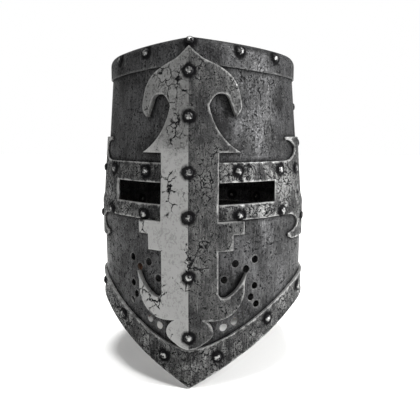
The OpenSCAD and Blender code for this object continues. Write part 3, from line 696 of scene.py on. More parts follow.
def grain(tree, place, size, detail=3.0, rough=0.55, turn=(0, 0, 0)):
    """Noise whose features are size mm along each axis."""
    spread = add(tree, "ShaderNodeMapping", {"Vector": place}, S_Rotation=turn,
                 S_Scale=tuple(1.0 / (k * MM) for k in size))
    return add(tree, "ShaderNodeTexNoise", {"Vector": spread.outputs[0]}, S_Scale=1.0, S_Detail=detail,
               S_Roughness=rough).outputs["Fac"]


def ranged(tree, value, low, high, to_low=0.0, to_high=1.0):
    return add(tree, "ShaderNodeMapRange", {"Value": value}, S_From_Min=low, S_From_Max=high, S_To_Min=to_low,
               S_To_Max=to_high).outputs[0]


def sums(tree, operation, a, b):
    node = add(tree, "ShaderNodeMath", operation=operation)
    for k, value in enumerate((a, b)):
        if isinstance(value, (int, float)):
            node.inputs[k].default_value = value
        else:
            tree.links.new(value, node.inputs[k])
    return node.outputs[0]


def total(tree, *parts):
    """The sum of several values, each times its weight."""
    whole = sums(tree, "MULTIPLY", *parts[0])
    for value, weight in parts[1:]:
        whole = sums(tree, "ADD", whole, sums(tree, "MULTIPLY", value, weight))
    return whole


def mixed(tree, factor, a, b):
    node = add(tree, "ShaderNodeMix", data_type="RGBA")
    for socket, value in ((0, factor), (6, a), (7, b)):
        if isinstance(value, (tuple, float)):
            node.inputs[socket].default_value = value
        else:
            tree.links.new(value, node.inputs[socket])
    return node.outputs[2]


def scratches(tree, place, turn, width, length):
    """Thin lines where a drawn-out noise crosses its middle, broken up along their run."""
    lines = grain(tree, place, (width, width, length), 1.0, 0.4, turn)
    thin = ranged(tree, sums(tree, "ABSOLUTE", sums(tree, "SUBTRACT", lines, 0.5), 0.0), 0.0, 0.014, 1.0, 0.0)
    return sums(tree, "MULTIPLY", thin, ranged(tree, grain(tree, place, (14, 14, 30)), 0.5, 0.62))


def crazed(tree, place, size, width):
    """Crooked cracks round flakes about size mm across."""
    sway = add(tree, "ShaderNodeTexNoise", {"Vector": place}, S_Scale=1.4 / (size * MM),
               S_Detail=4.0).outputs["Color"]
    sway = add(tree, "ShaderNodeVectorMath", {0: sway}, operation="SCALE", S_Scale=1.1 * size * MM)
    bent = add(tree, "ShaderNodeVectorMath", {0: place, 1: sway.outputs[0]}, operation="ADD")
    spread = add(tree, "ShaderNodeMapping", {"Vector": bent.outputs[0]}, S_Scale=(1 / (size * MM),) * 3)
    flakes = add(tree, "ShaderNodeTexVoronoi", {"Vector": spread.outputs[0]}, feature="DISTANCE_TO_EDGE",
                 S_Scale=1.0)
    return ranged(tree, flakes.outputs["Distance"], 0.4 * width, width, 1.0, 0.0)


def steel(name, dark, light, metal, rough, pits, cracks, rubbed, left_side):
    """Forged steel under black scale: mottled, pitted, cracked and scratched, its edges bare, with grime and
    painted shade round its rivets and painted shade beside the pieces that lie over it.

    pits and cracks say how much of the surface they take, rubbed how bright bare edges are, and the last number
    how much paler, as painted light from the left, and freer of pits the metal is left of the ridge than right
    of it.
    """
    material, tree, place = blank(name)
    edge, cover, rivet = [stored(tree, label) for label in ("edge", "cover", "rivet")]
    across, _, level = add(tree, "ShaderNodeSeparateXYZ", {0: place}).outputs
    clouds = grain(tree, place, (26, 26, 38), 5.0, 0.62)
    blots = grain(tree, place, (6, 6, 8), 5.0, 0.7)
    specks = grain(tree, place, (2.1, 2.1, 2.4), 3.0, 0.75)
    drawn = grain(tree, place, (1.5, 1.5, 26), 3.0, 0.6)
    tone = total(tree, (clouds, 0.9), (blots, 0.6), (specks, 1.0), (drawn, 0.35))
    # Painted light: left of the ridge the metal is painted paler and kept freer of pits, less so on the head of
    # the cross than on its stem
    clean = sums(tree, "MULTIPLY", ranged(tree, across, 0.3 * MM, -0.3 * MM, 0.0, left_side),
                 ranged(tree, total(tree, (level, 1.0), (clouds, 0.16)), 0.345, 0.315, 0.45, 1.0))
    shade = mixed(tree, ranged(tree, tone, 1.3, 1.66), colour(dark), colour(light))
    # Painted light: left of the ridge the colour is mixed towards pale grey
    shade = mixed(tree, clean, shade, colour("#868685"))
    lines = sums(tree, "MAXIMUM", scratches(tree, place, (0, 0.35, 0.2), 1.6, 60),
                 scratches(tree, place, (0.3, -1.25, 0.5), 1.6, 50))
    shade = mixed(tree, sums(tree, "MULTIPLY", lines, 0.5), shade, colour("#7d7d7c"))
    # Pits hold black scale, in swarms
    swarm = sums(tree, "SUBTRACT", ranged(tree, blots, 0.62 - 0.26 * pits, 0.7 - 0.2 * pits),
                 sums(tree, "MULTIPLY", clean, 0.75))
    hollows = sums(tree, "MULTIPLY", ranged(tree, specks, 0.49, 0.56), sums(tree, "MAXIMUM", swarm, 0.0))
    splits = sums(tree, "MULTIPLY", crazed(tree, place, 12.0, 0.07),
                  ranged(tree, clouds, 0.64 - 0.25 * cracks, 0.7 - 0.25 * cracks))
    hollows = sums(tree, "MAXIMUM", hollows, splits)
    shade = mixed(tree, hollows, shade, colour("#0d0d0e"))
    # Edges rub bright, unevenly
    rub = sums(tree, "SUBTRACT", edge, ranged(tree, blots, 0.35, 0.62, 0.0, 2.6))
    bare = sums(tree, "MULTIPLY", ranged(tree, rub, -1.6, 0.4, 1.0, 0.0), rubbed)
    shade = mixed(tree, bare, shade, colour("#8e8e8d"))
    # Painted shade beside the pieces that lie over this one, and grime with painted shade round each rivet
    wobble = ranged(tree, blots, 0.3, 0.7, -1.5, 1.5)
    soot = sums(tree, "MAXIMUM", ranged(tree, sums(tree, "ADD", rivet, wobble), 6.6, 9.4, 0.97, 0.0),
                ranged(tree, sums(tree, "ADD", cover, wobble), -1.0, 5.0, 0.9, 0.0))
    shade = mixed(tree, soot, shade, colour("#09090a"))
    fouled = sums(tree, "MAXIMUM", hollows, soot)
    rough_map = sums(tree, "ADD", ranged(tree, tone, 1.3, 1.66, rough + 0.08, rough - 0.06),
                     sums(tree, "MULTIPLY", fouled, 0.35))
    metal_map = sums(tree, "MULTIPLY", sums(tree, "SUBTRACT", 1.0, fouled),
                     sums(tree, "MAXIMUM", bare, metal))
    relief = total(tree, (blots, 0.9), (specks, 0.5), (hollows, -1.3), (lines, -0.4))
    # Grime, painted shade and the bottoms of pits give hardly any shine back, which keeps the painted shade
    # deep
    shine = ranged(tree, fouled, 0.0, 0.7, 0.3, 0.03)
    surface(tree,
            {"Base Color": shade, "Roughness": rough_map, "Metallic": metal_map, "Specular IOR Level": shine,
                   "Normal": bumped(tree, relief, 0.6, 0.4)})
    return material


# Skull, face, neck and crown: plate left black from the fire, so dark, mottled and only half metallic
blackened = steel("blackened_plate", "#050506", "#4a4a4b", 0.5, 0.36, 0.8, 0.0, 0.15, 0.0)
# Band and rims: the same plate, pickled and rusted in the weather, paler between its black pits and cracks
pickled = steel("pickled_steel", "#0c0c0d", "#868685", 0.5, 0.42, 1.2, 0.7, 0.85, 0.0)
# Cross: filed steel, painted pale left of the ridge as if lit from that side, still dark and scratched right of
# it
filed = steel("filed_steel", "#111112", "#5c5c5b", 0.35, 0.46, 0.9, 0.5, 0.5, 0.95)


def hammered_iron():
    """Wrought-iron rivet heads: black in the hollows, rubbed pale on the crown."""
    material, tree, place = blank("wrought_iron")
    facets = grain(tree, place, (2.6, 2.6, 2.6), 2.0, 0.5)
    rubbed = ranged(tree, sums(tree, "ADD", stored(tree, "crown"),
                               ranged(tree, facets, 0.3, 0.7, -0.35, 0.35)), 0.7, 1.1)
    shade = mixed(tree, rubbed, colour("#1b1b1c"), colour("#8f8f8e"))
    surface(tree, {"Base Color": shade, "Normal": bumped(tree, facets, 0.6, 0.5),
                   "Roughness": ranged(tree, rubbed, 0, 1, 0.6, 0.34)}, S_Metallic=1.0)
    return material


iron = hammered_iron()


def dress(obj, material, slot_name, nodes, body="shell"):
    """Gives a piece its material and its body, and hides the CAD nodes that it stands for."""
    obj.data.materials.clear()
    obj.data.materials.append(material)
    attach(obj, body)
    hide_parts(*nodes)


for obj, finish, slot_name, node in (
        (crown_plate, blackened, "dark_plate_steel", "crown_plate"),
        (front_skull, blackened, "dark_plate_steel", "front_skull_plate"),
        (back_skull, blackened, "dark_plate_steel", "back_skull_plate"),
        (face, blackened, "dark_plate_steel", "face_plate"), (neck, blackened, "dark_plate_steel",
                                                              "neck_plate"),
        (band, pickled, "band_steel", "sight_band"), (front_rim, pickled, "band_steel", "front_rim"),
        (rear_rim, pickled, "band_steel", "rear_rim"), (cross, filed, "cross_steel", "ridge_cross")):
    dress(obj, finish, slot_name, [node])


# ---------------------------------------------------------------- rivets, by Geometry Nodes
def tree_with(name, *inputs):
    """A Geometry Nodes tree that takes and gives a mesh, with the given inputs as well."""
    tree = bpy.data.node_groups.new(name, "GeometryNodeTree")
    tree.interface.new_socket("Geometry", in_out="INPUT", socket_type="NodeSocketGeometry")
    for label, kind, value in inputs + (("Finish", "Material", None),):
        socket = tree.interface.new_socket(label, in_out="INPUT", socket_type="NodeSocket" + kind)
        if value is not None:
            socket.default_value = value
    tree.interface.new_socket("Geometry", in_out="OUTPUT", socket_type="NodeSocketGeometry")
    return tree, add(tree, "NodeGroupInput").outputs


def scattered(tree, given, shape, turn, spread):
    """Puts shape on every point, up to spread smaller at random, and paints it."""
    least = sums(tree, "SUBTRACT", 1.0, spread)
    size = add(tree, "FunctionNodeRandomValue", {"Seed": given["Seed"], 2: least}, data_type="FLOAT", S3=1.0)
    placed = add(tree, "GeometryNodeInstanceOnPoints", {"Points": given["Geometry"], "Instance": shape,
                                                        "Rotation": turn, "Scale": size.outputs[1]})
    real = add(tree, "GeometryNodeRealizeInstances", {0: placed.outputs[0]})
    painted = add(tree, "GeometryNodeSetMaterial", {"Geometry": real.outputs[0], "Material": given["Finish"]})
    add(tree, "NodeGroupOutput", {0: painted.outputs[0]})


def along_axis(tree):
    """The turn that stands a shape along its point's 'axis'."""
    axis = add(tree, "GeometryNodeInputNamedAttribute", data_type="FLOAT_VECTOR", S_Name="axis")
    return add(tree, "FunctionNodeAlignRotationToVector", {"Vector": axis.outputs[0]}, axis="Z").outputs[0]


def heads_tree():
    """One hammered dome at every point, standing along the point's 'axis'."""
    tree, given = tree_with("rivet_heads", ("Radius", "Float", 0.0047), ("Height", "Float", 0.0026),
                            ("Hammering", "Float", 0.12), ("Size spread", "Float", 0.06), ("Seed", "Int", 7))
    ball = add(tree, "GeometryNodeMeshUVSphere", S_Segments=24, S_Rings=16, S_Radius=1.0)
    where = add(tree, "GeometryNodeInputPosition").outputs[0]
    x, y, z = add(tree, "ShaderNodeSeparateXYZ", {0: where}).outputs
    above = sums(tree, "MAXIMUM", z, -0.12)
    bumps = add(tree, "ShaderNodeTexNoise", {"Vector": where}, S_Scale=2.2, S_Detail=1.0).outputs["Fac"]
    swell = sums(tree, "ADD", sums(tree, "MULTIPLY", sums(tree, "SUBTRACT", bumps, 0.5), given["Hammering"]),
                 0.97)
    sized = [sums(tree, "MULTIPLY", sums(tree, "MULTIPLY", way, swell), given[size])
             for way, size in ((x, "Radius"), (y, "Radius"), (above, "Height"))]
    shaped = add(tree, "ShaderNodeCombineXYZ", dict(enumerate(sized)))
    named = add(tree, "GeometryNodeStoreNamedAttribute", {"Geometry": ball.outputs["Mesh"], "Value": above},
                data_type="FLOAT", domain="POINT", S_Name="crown")
    dome = add(tree, "GeometryNodeSetPosition", {"Geometry": named.outputs[0], "Position": shaped.outputs[0]})
    spin = add(tree, "FunctionNodeRandomValue", {"Seed": given["Seed"]}, data_type="FLOAT", S2=0.0, S3=6.283)
    about = add(tree, "FunctionNodeAxisAngleToRotation", {"Angle": spin.outputs[1]}, S_Axis=(0, 0, 1))
    turned = add(tree, "FunctionNodeRotateRotation", {0: along_axis(tree), 1: about.outputs[0]},
                 rotation_space="LOCAL")
    scattered(tree, given, dome.outputs[0], turned.outputs[0], given["Size spread"])
    return tree


rivet_tree = heads_tree()


def grown(obj, tree, **values):
    """Runs a node tree on an object and keeps the plain mesh."""
    modifier = obj.modifiers.new(tree.name, "NODES")
    modifier.node_group = tree
    for item in tree.interface.items_tree:
        key = item.name.replace(" ", "_")
        if item.item_type == "SOCKET" and item.in_out == "INPUT" and key in values:
            modifier[item.identifier] = values[key]
    return baked(obj)


def point_piece(name, places, axes):
    mesh = bpy.data.meshes.new(name)
    mesh.from_pydata([tuple(p) for p in places], [], [])
    mesh.attributes.new("axis", "FLOAT_VECTOR", "POINT").data.foreach_set("vector",
                                                                          np.ravel(axes).astype(np.float32))
    obj = bpy.data.objects.new(name, mesh)
    bpy.context.collection.objects.link(obj)
    return obj


def rivet_axis(row):
    level = outward(row[0])
    return (level * math.cos(row[3]) + Vector((0, 0, math.sin(row[3])))).normalized()


def rivet_row(name, rows, nodes):
    """Hammered heads outside and clenched ends inside."""
    outside, inside_ends, axes = [], [], []
    for row in rows:
        axis = rivet_axis(row)
        seat = Vector(wall(row[0], row[1] + 0.1, row[2])[0]) * MM
        outside.append(seat)
        inside_ends.append(seat - axis * (row[1] - row[4] + 0.2) * MM)
        axes.append(axis)
    heads = grown(point_piece(name, outside, axes), rivet_tree, Radius=0.0047, Height=0.0026, Hammering=0.16,
                  Seed=7, Finish=iron)
    ends = grown(point_piece(name + "_ends", inside_ends, [-a for a in axes]), rivet_tree, Radius=0.0036,
                 Height=0.0014, Hammering=0.3, Seed=11, Finish=iron)
    for obj in (heads, ends):
        finish_mesh(obj)
        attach(obj, "shell")
    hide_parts(*nodes)


rivet_row("rivets_of_the_shell", shell_rivets,
          ["crown_rivets", "ridge_rivets", "band_rivets", "front_rim_rivets", "rear_rim_rivets",
           "side_seam_rivets",
           "waist_rivets", "rear_liner_rivets", "strap_rivets"])

# ---------------------------------------------------------------- leather, linen and brass
def leather(name, dark, light, rough, pore):
    """Hide: a pebble of pores and creases, mottled at random, its darker patches rougher and its paler ones
    smoother.
    """
    material, tree, place = blank(name)
    spread = add(tree, "ShaderNodeMapping", {"Vector": place}, S_Scale=(1 / (pore * MM),) * 3)
    pebble = add(tree, "ShaderNodeTexVoronoi", {"Vector": spread.outputs[0]}, feature="DISTANCE_TO_EDGE",
                 S_Scale=1.0).outputs["Distance"]
    clouds = grain(tree, place, (18, 18, 24), 4.0)
    creases = grain(tree, place, (9, 9, 1.4), 3.0, 0.6)
    tone = sums(tree, "ADD", ranged(tree, clouds, 0.3, 0.7, 0.0, 0.75),
                ranged(tree, creases, 0.4, 0.7, 0.0, 0.25))
    shade = mixed(tree, tone, colour(dark), colour(light))
    # Cut edges are dyed and burnished
    burnish = ranged(tree, stored(tree, "edge"), 0.4, 1.6, 0.8, 0.0)
    shade = mixed(tree, burnish, shade, colour("#20140c"))
    relief = total(tree, (ranged(tree, pebble, 0.0, 0.22), 1.0), (creases, 0.8))
    surface(tree, {"Base Color": shade, "Normal": bumped(tree, relief, 0.5, 0.25),
                   "Roughness": ranged(tree, tone, 0, 1, rough + 0.1, rough - 0.08)}, S_IOR=1.5)
    return material


# Liner band and disc: vegetable-tanned cowhide, undyed, so warm brown and nearly matt
tanned = leather("vegetable_tanned_cowhide", "#6a4526", "#9a6c40", 0.6, 1.3)
# Chin strap: currier's harness leather, stuffed with tallow, so dark and half glossy
harness = leather("harness_leather", "#2c1a10", "#573621", 0.45, 1.1)


def linen():
    """Unbleached plain-weave linen, its threads drawn 1.2 mm apart, twice the real pitch, so that they show."""
    material, tree, place = blank("quilted_linen")
    waves = [add(tree, "ShaderNodeTexWave", {"Vector": place}, bands_direction=way, S_Distortion=0.6,
                 S_Detail=1.0,
                 S_Scale=2 * math.pi / (20 * 1.2 * MM)).outputs["Fac"] for way in ("X", "Y", "Z")]
    weave = sums(tree, "ADD", sums(tree, "MULTIPLY", waves[0], waves[2]),
                 sums(tree, "MULTIPLY", waves[1], waves[2]))
    slubs = grain(tree, place, (1.4, 1.4, 16), 3.0)
    stains = grain(tree, place, (34, 34, 26), 4.0)
    shade = mixed(tree, ranged(tree, slubs, 0.3, 0.7), colour("#a2957b"), colour("#c7bca3"))
    shade = mixed(tree, ranged(tree, stains, 0.52, 0.75, 0.0, 0.55), shade, colour("#857253"))
    # Darker along the sewn channels and the hem of the quilting
    shade = mixed(tree, ranged(tree, stored(tree, "channel"), 0.0, 4.0, 0.55, 0.0), shade, colour("#6d5f48"))
    surface(tree, {"Base Color": shade, "Normal": bumped(tree, sums(tree, "ADD", weave, slubs), 0.6, 0.3)},
            S_Roughness=0.92, S_Sheen_Weight=0.3, S_Sheen_Roughness=0.4, S_IOR=1.45)
    return material


quilting = linen()


def waxed_thread(name, code):
    """Waxed linen thread, laid in two strands."""
    material, tree, place = blank(name)
    shade = mixed(tree, grain(tree, place, (1.5, 1.5, 1.5)), colour("#2e2416"), colour(code))
    surface(tree, {"Base Color": shade}, S_Roughness=0.55, S_IOR=1.5)
    return material


thread = waxed_thread("waxed_thread", "#c8b48a")


def brass():
    """Cast brass: yellow on the rubbed high places, brown with tarnish elsewhere."""
    material, tree, place = blank("cast_brass")
    tarnish = ranged(tree, grain(tree, place, (5, 5, 5), 4.0), 0.42, 0.66)
    shade = mixed(tree, tarnish, colour("#c3a258"), colour("#5f4a26"))
    surface(tree, {"Base Color": shade, "Normal": bumped(tree, grain(tree, place, (1.2, 1.2, 1.2)), 0.3, 0.2),
                   "Roughness": ranged(tree, tarnish, 0, 1, 0.3, 0.55)}, S_Metallic=1.0)
    return material


cast = brass()
# Washers: punched from bright sheet and never polished, so evenly grey
punched = steel("punched_steel", "#222223", "#6c6c6b", 0.7, 0.42, 0.3, 0.0, 0.5, 0.0)


# ---------------------------------------------------------------- stitches, by Geometry Nodes
def stitch_tree():
    """One plump thread end to end on every point, lying along the point's 'axis'."""
    tree, given = tree_with("stitches", ("Length", "Float", 0.0034), ("Thickness", "Float", 0.0009),
                            ("Slack", "Float", 0.12), ("Seed", "Int", 3))
    ball = add(tree, "GeometryNodeMeshUVSphere", S_Segments=8, S_Rings=6, S_Radius=0.5)
    shape = add(tree, "ShaderNodeCombineXYZ",
                {0: given["Thickness"], 1: given["Thickness"], 2: given["Length"]})
    spindle = add(tree, "GeometryNodeTransform",
                  {"Geometry": ball.outputs["Mesh"], "Scale": shape.outputs[0]})
    scattered(tree, given, spindle.outputs[0], along_axis(tree), given["Slack"])
    return tree


stitching = stitch_tree()


def sewn(name, rows, body, length=3.4, thickness=0.9):
    """Stitches along each row of points, in mm, one between every two points."""
    places, axes = [], []
    for row in rows:
        row = np.asarray(row)
        for a, b in zip(row, row[1:]):
            places.append((a + b) / 2 * MM)
            axes.append((b - a) / np.linalg.norm(b - a))
    obj = grown(point_piece(name, places, axes), stitching, Length=length * MM, Thickness=thickness * MM,
                Slack=0.15,
                Seed=5, Finish=thread)
    finish_mesh(obj)
    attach(obj, body)
    return obj


# ---------------------------------------------------------------- liner
LINER_LOW, LINER_HIGH, LOBE_LOW = 217.0, 246.0, 237.0
DISC_Z, DISC_D = 320.0, -50.0


def liner_d(z):
    return float(skull_d(z)) + LINER_OUT


def band_section(s):
    foot, head = liner_d(LINER_LOW), liner_d(LINER_HIGH)
    t = LINER_T
    return [(foot - 0.6, LINER_LOW), (foot, LINER_LOW + 0.6), (head, LINER_HIGH - 0.6),
            (head - 0.6, LINER_HIGH),
            (head - t + 0.6, LINER_HIGH), (head - t, LINER_HIGH - 0.6), (foot - t, LINER_LOW + 0.6),
            (foot - t + 0.6, LINER_LOW)]


ring = np.arange(-ROUND + 2.5, ROUND, 5.0)
liner_band = strip("liner_band_cut", ring, band_section, closed=True)
dress(liner_band, tanned, "liner_leather", ["liner_band"])

disc_rim = [tuple(p[:2]) for p in wall(np.arange(-ROUND, ROUND, 4.0), DISC_D, DISC_Z, False)]
crown_disc = sheet("liner_disc_cut", disc_rim, [], lambda x, y: np.full_like(x, DISC_Z + LINER_T - 0.05),
                   lambda x, y: np.full_like(x, DISC_Z + 0.05), bevel=0.6, pitch=5.0,
                   place=lambda x, d, y: np.stack([x, y, d], axis=1))
dress(crown_disc, tanned, "liner_leather", ["liner_crown_disc"])


def washer(centre, axis, radius):
    """Points and faces of one flat ring with a softened outer edge."""
    side = axis.orthogonal().normalized()
    up = axis.cross(side)
    turns = [2 * math.pi * i / 28 for i in range(28)]
    profile = [(2.4, 0.05), (2.4, 0.75), (radius - 0.35, 0.75), (radius, 0.45), (radius, 0.2),
               (radius - 0.2, 0.05)]
    points = [centre + (side * math.cos(a) + up * math.sin(a)) * r + axis * h for a in turns for r,
              h in profile]
    n = len(profile)
    faces = [(i * n + j, i * n + (j + 1) % n, (i + 1) % 28 * n + (j + 1) % n, (i + 1) % 28 * n + j)
             for i in range(28) for j in range(n)]
    return [tuple(p) for p in points], faces


def washers(name, rows, radius, node):
    points, faces = [], []
    for row in rows:
        axis = rivet_axis(row)
        foot = Vector(wall(row[0], row[1], row[2])[0]) - axis * (row[1] - row[4])
        more, loops = washer(foot, axis, radius)
        faces += [tuple(i + len(points) for i in f) for f in loops]
        points += more
    zeros = np.zeros(len(points))
    obj = piece(name, points, faces, edge=zeros + 3, cover=zeros + 60, rivet=zeros + 60)
    dress(obj, punched, "washer_steel", [node])


washers("washers_of_the_liner", [r for r in shell_rivets if r[2] == LINER_Z and r[0] != 0], 5.0,
        "liner_washers")
washers("washers_of_the_straps", strap_rivets, 6.0, "strap_washers")


def lobe_section(s):
    foot, head = liner_d(LOBE_LOW), liner_d(LINER_HIGH)
    outer = [(foot - 2.8, LOBE_LOW), (head - 2.8, LINER_HIGH + 2), (-20, 272), (-34, 300),
             (DISC_D - 2, DISC_Z - 1.5)]
    inner = [(DISC_D - 5, DISC_Z - 10), (-48, 294), (-33, 266), (-25, 244), (foot - 12, LOBE_LOW)]
    return outer + inner


def station_at(x, forward):
    """Length along the wall of a point, from the arc that it lies inside."""
    best = 0.0
    for k, (c, a0,
            a1) in enumerate(((front_c, math.pi / 2 - RAKE, JOIN), (cheek_c, JOIN, 0.0), (side_c, 0.0, BACK),
                                     (back_c, BACK, -math.pi / 2))):
        a = math.atan2(forward - c[1], abs(x) - c[0])
        if a <= a0 or k == 0:
            best = REACH[k] + (REACH[k + 1] - REACH[k]) * min(1.0, (a0 - a) / (a0 - a1))
        if a > a1:
            break
    return best


CHANNEL = 19.0


def stuffed(obj, cap):
    """Swells a closed mesh as wool stuffing would; no point moves further than cap, in mm."""
    remesh = obj.modifiers.new("voxels", "REMESH")
    remesh.mode = "VOXEL"
    remesh.voxel_size = 4.5 * MM
    baked(obj)
    start = np.empty(len(obj.data.vertices) * 3)
    obj.data.vertices.foreach_get("co", start)
    cloth = obj.modifiers.new("swell", "CLOTH")
    cloth.settings.use_pressure = True
    cloth.settings.uniform_pressure_force = 4.0
    cloth.settings.effector_weights.gravity = 0.0
    cloth.settings.quality = 5
    cloth.point_cache.frame_end = 20
    for frame_number in range(1, 21):
        bpy.context.scene.frame_set(frame_number)
    baked(obj)
    bpy.context.scene.frame_set(1)
    end = np.empty(len(obj.data.vertices) * 3)
    obj.data.vertices.foreach_get("co", end)
    start, end = start.reshape(-1, 3), end.reshape(-1, 3)
    move = end - start
    far = np.linalg.norm(move, axis=1)
    move *= np.minimum(1.0, cap * MM / np.maximum(far, 1e-9))[:, None]
    obj.data.vertices.foreach_set("co", (start + move).ravel())
    smooth = obj.modifiers.new("soften", "SMOOTH")
    smooth.iterations = 4
    finer = obj.modifiers.new("finer", "SUBSURF")
    finer.levels = finer.render_levels = 1
    return baked(obj)


def quilt(obj, s0, s1, side):
    """Sewn channels up the lobe: draws both faces in along evenly spaced lines."""
    mesh = obj.data
    cells = max(2, round((s1 - s0) / CHANNEL))
    co = np.empty(len(mesh.vertices) * 3)
    normals = np.empty_like(co)
    mesh.vertices.foreach_get("co", co)
    mesh.vertices.foreach_get("normal", normals)
    co, normals = co.reshape(-1, 3), normals.reshape(-1, 3)
    reach = np.array([station_at(p[0] / MM, MIDDLE - p[1] / MM) for p in co])
    cell = np.clip((reach - s0) / (s1 - s0), 0, 1) * cells
    line = np.round(cell)
    off = np.abs(cell - line) * (s1 - s0) / cells
    off[(line < 0.5) | (line > cells - 0.5)] = 9.0
    hem = np.abs(co[:, 2] / MM - (LOBE_LOW + 4.5))
    near = np.minimum(off, hem)
    co -= normals * (2.1 * np.exp(-(near / 2.6) ** 2) * MM)[:, None]
    mesh.vertices.foreach_set("co", co.ravel())
    mesh.attributes.new("channel", "FLOAT", "POINT").data.foreach_set("value", near.astype(np.float32))
    finish_mesh(obj)
    # The stitches that hold each channel, found on the finished face
    tree = BVHTree.FromPolygons([v.co for v in mesh.vertices], [p.vertices for p in mesh.polygons])
    rows = []
    for k in range(1, cells):
        s = side * (s0 + (s1 - s0) * k / cells)
        rows.append([(s, z) for z in np.arange(LOBE_LOW + 5, DISC_Z - 14, 4.2)])
    rows.append([(side * s, LOBE_LOW + 4.5) for s in np.arange(s0 + 3, s1 - 2, 4.2)])
    sewing = []
    for row in rows:
        found = []
        for s, z in row:
            out = outward(s)
            origin = Vector(wall(s, -62.0 if z > 262 else -45.0, z, False)[0]) * MM
            hit = tree.ray_cast(origin, out, 0.06)[0]
            if hit is not None:
                found.append(np.array(hit) / MM - np.array(out) * 0.15)
        sewing.append(found)
    return [row for row in sewing if len(row) > 2]


lobe_stations = [along(v) for v in (0, 6, 12, 18, 24)]
lobe_seams = []
for number in range(8):
    side = 1 if number < 4 else -1
    s0, s1 = lobe_stations[number % 4] + 3.4, lobe_stations[number % 4 + 1] - 3.4
    places = np.linspace(s0, s1, 14) * side
    if side < 0:
        places = places[::-1]
    lobe = strip(f"lobe_{number + 1}", places, lobe_section)
    for name in ("edge", "cover", "rivet"):
        lobe.data.attributes.remove(lobe.data.attributes[name])
    stuffed(lobe, 3.0)
    lobe_seams += quilt(lobe, s0, s1, side)
    dress(lobe, quilting, "quilted_linen", [f"liner_lobe_{number + 1}"])
sewn("stitches_of_the_liner", lobe_seams, "shell", 3.2, 0.9)
disc_edge = wall(np.arange(-ROUND, ROUND + 1, 5.0), DISC_D - 4.5, DISC_Z - 0.2, False)
sewn("stitches_of_the_disc", [disc_edge], "shell", 3.4, 0.9)

# ---------------------------------------------------------------- chin strap
joints = {j["name"]: j for j in frame["joints"]}
LEAN = math.radians(10)
BEND_Z, BUCKLE_DROP, BILLET_DROP = 13.0, 96.0, 138.0


class Hung:
    """The space of one strap: x out, y across, z up, from its rivet on the strap's outer face."""

    def __init__(self, joint):
        self.out = Vector(joints[joint]["axis"]).normalized()
        self.across = Vector((0, 0, 1)).cross(self.out)
        self.origin = Vector(joints[joint]["pos_m"]) / MM + self.out * STRAP_T / 2

    def at(self, x, y, z):
        return self.origin + self.out * x + self.across * y + Vector((0, 0, z))

    def down(self, x, y, z):
        """The same, leaned in below the bend; z is still counted from the rivet."""
        z += BEND_Z
        return self.at(x * math.cos(LEAN) + z * math.sin(LEAN), y,
                       -x * math.sin(LEAN) + z * math.cos(LEAN) - BEND_Z)


def smooth_path(points, per=6):
    """Points along a smooth curve through the given ones."""
    p = [np.array(q, float) for q in points]
    p = [2 * p[0] - p[1]] + p + [2 * p[-1] - p[-2]]
    out = []
    for a, b, c, d in zip(p, p[1:], p[2:], p[3:]):
        for i in range(per):
            t = i / per
            out.append(0.5 * (2 * b + (c - a) * t + (2 * a - 5 * b + 4 * c - d) * t ** 2
                              + (3 * b - a - 3 * c + d) * t ** 3))
    return np.array(out + [p[-2]])


def on_path(path, hung, start):
    """A function that takes (across, out, -run) to the strap along path, a curve in its own x and z."""
    steps = np.linalg.norm(np.diff(path, axis=0), axis=1)
    run = np.concatenate([[0], np.cumsum(steps)]) + start

    def place(y, d, z):
        here, behind, ahead = [[np.interp(along_it, run, path[:, k]) for k in (0, 1)]
                               for along_it in (-np.asarray(z, float) + step for step in (0, -0.6, 0.6))]
        x, h = here
        tx, tz = ahead[0] - behind[0], ahead[1] - behind[1]
        size = np.maximum(np.hypot(tx, tz), 1e-6)
        nx, nz = -tz / size, tx / size
        return np.array([hung.at(a + b * u, c, e + b * w) for a, b, u, c, e, w in zip(x, d, nx, y, h, nz)])
    return place


def leaned(x, z):
    """A point of the leaned stretch, as x and z of the strap's space."""
    z += BEND_Z
    return (x * math.cos(LEAN) + z * math.sin(LEAN), -x * math.sin(LEAN) + z * math.cos(LEAN) - BEND_Z)


def strap_outline(length, tip):
    """Round top, straight sides and the given tip, as (across, -run)."""
    top = [(9.9 * math.sin(math.radians(a)), 9.9 * math.cos(math.radians(a))) for a in range(-64, 65, 8)]
    half = STRAP_W / 2
    end = [(half, -length)]
    if tip < half:
        end = [(half, -length + 12), (half - 1, -length + 7), (tip, -length + 1.5), (tip - 1.5, -length)]
    return fine(list(reversed(top + end + [(-y, z) for y, z in reversed(end)])), 2.4, 0.12, 2.0)


def strap(name, body, joint, node, path, length, tip, holes):
    hung = Hung(joint)
    place = on_path(smooth_path(path), hung, -10.0)
    h = STRAP_T / 2
    obj = sheet(name, strap_outline(length, tip), holes, lambda y, z: np.full_like(y, h - 0.02),
                lambda y, z: np.full_like(y, 0.02 - h), bevel=0.45, pitch=2.6, place=place)
    dress(obj, harness, "strap_leather", [node], body)
    return hung, place


mid = -STRAP_T / 2
straight = [(mid, 10), (mid, 0), (mid, -8), (mid - 0.15, -BEND_Z + 1)]
fold = [leaned(mid, -26), leaned(mid, -50), leaned(mid, -BUCKLE_DROP + 16),
        leaned(mid + 0.3, -BUCKLE_DROP + 9),
        leaned(mid + 2.1, -BUCKLE_DROP + 3.6)]
fold += [leaned(mid + 2.76 * math.cos(math.radians(a)), -BUCKLE_DROP - 2.76 * math.sin(math.radians(a)))
         for a in (0, 45, 90, 135, 180)]
fold += [leaned(mid - 2.5, -BUCKLE_DROP + 3.6), leaned(mid - 2.42, -BUCKLE_DROP + 8),
         leaned(mid - 2.42, -BUCKLE_DROP + 14)]
around = smooth_path(straight + fold)
fold_run = float(np.sum(np.linalg.norm(np.diff(around, axis=0), axis=1))) - 10
tongue_slot = [(y, z - BUCKLE_DROP - 1.5) for y, z in ((-2.7, -13), (2.7, -13), (2.7, 6), (-2.7, 6))]
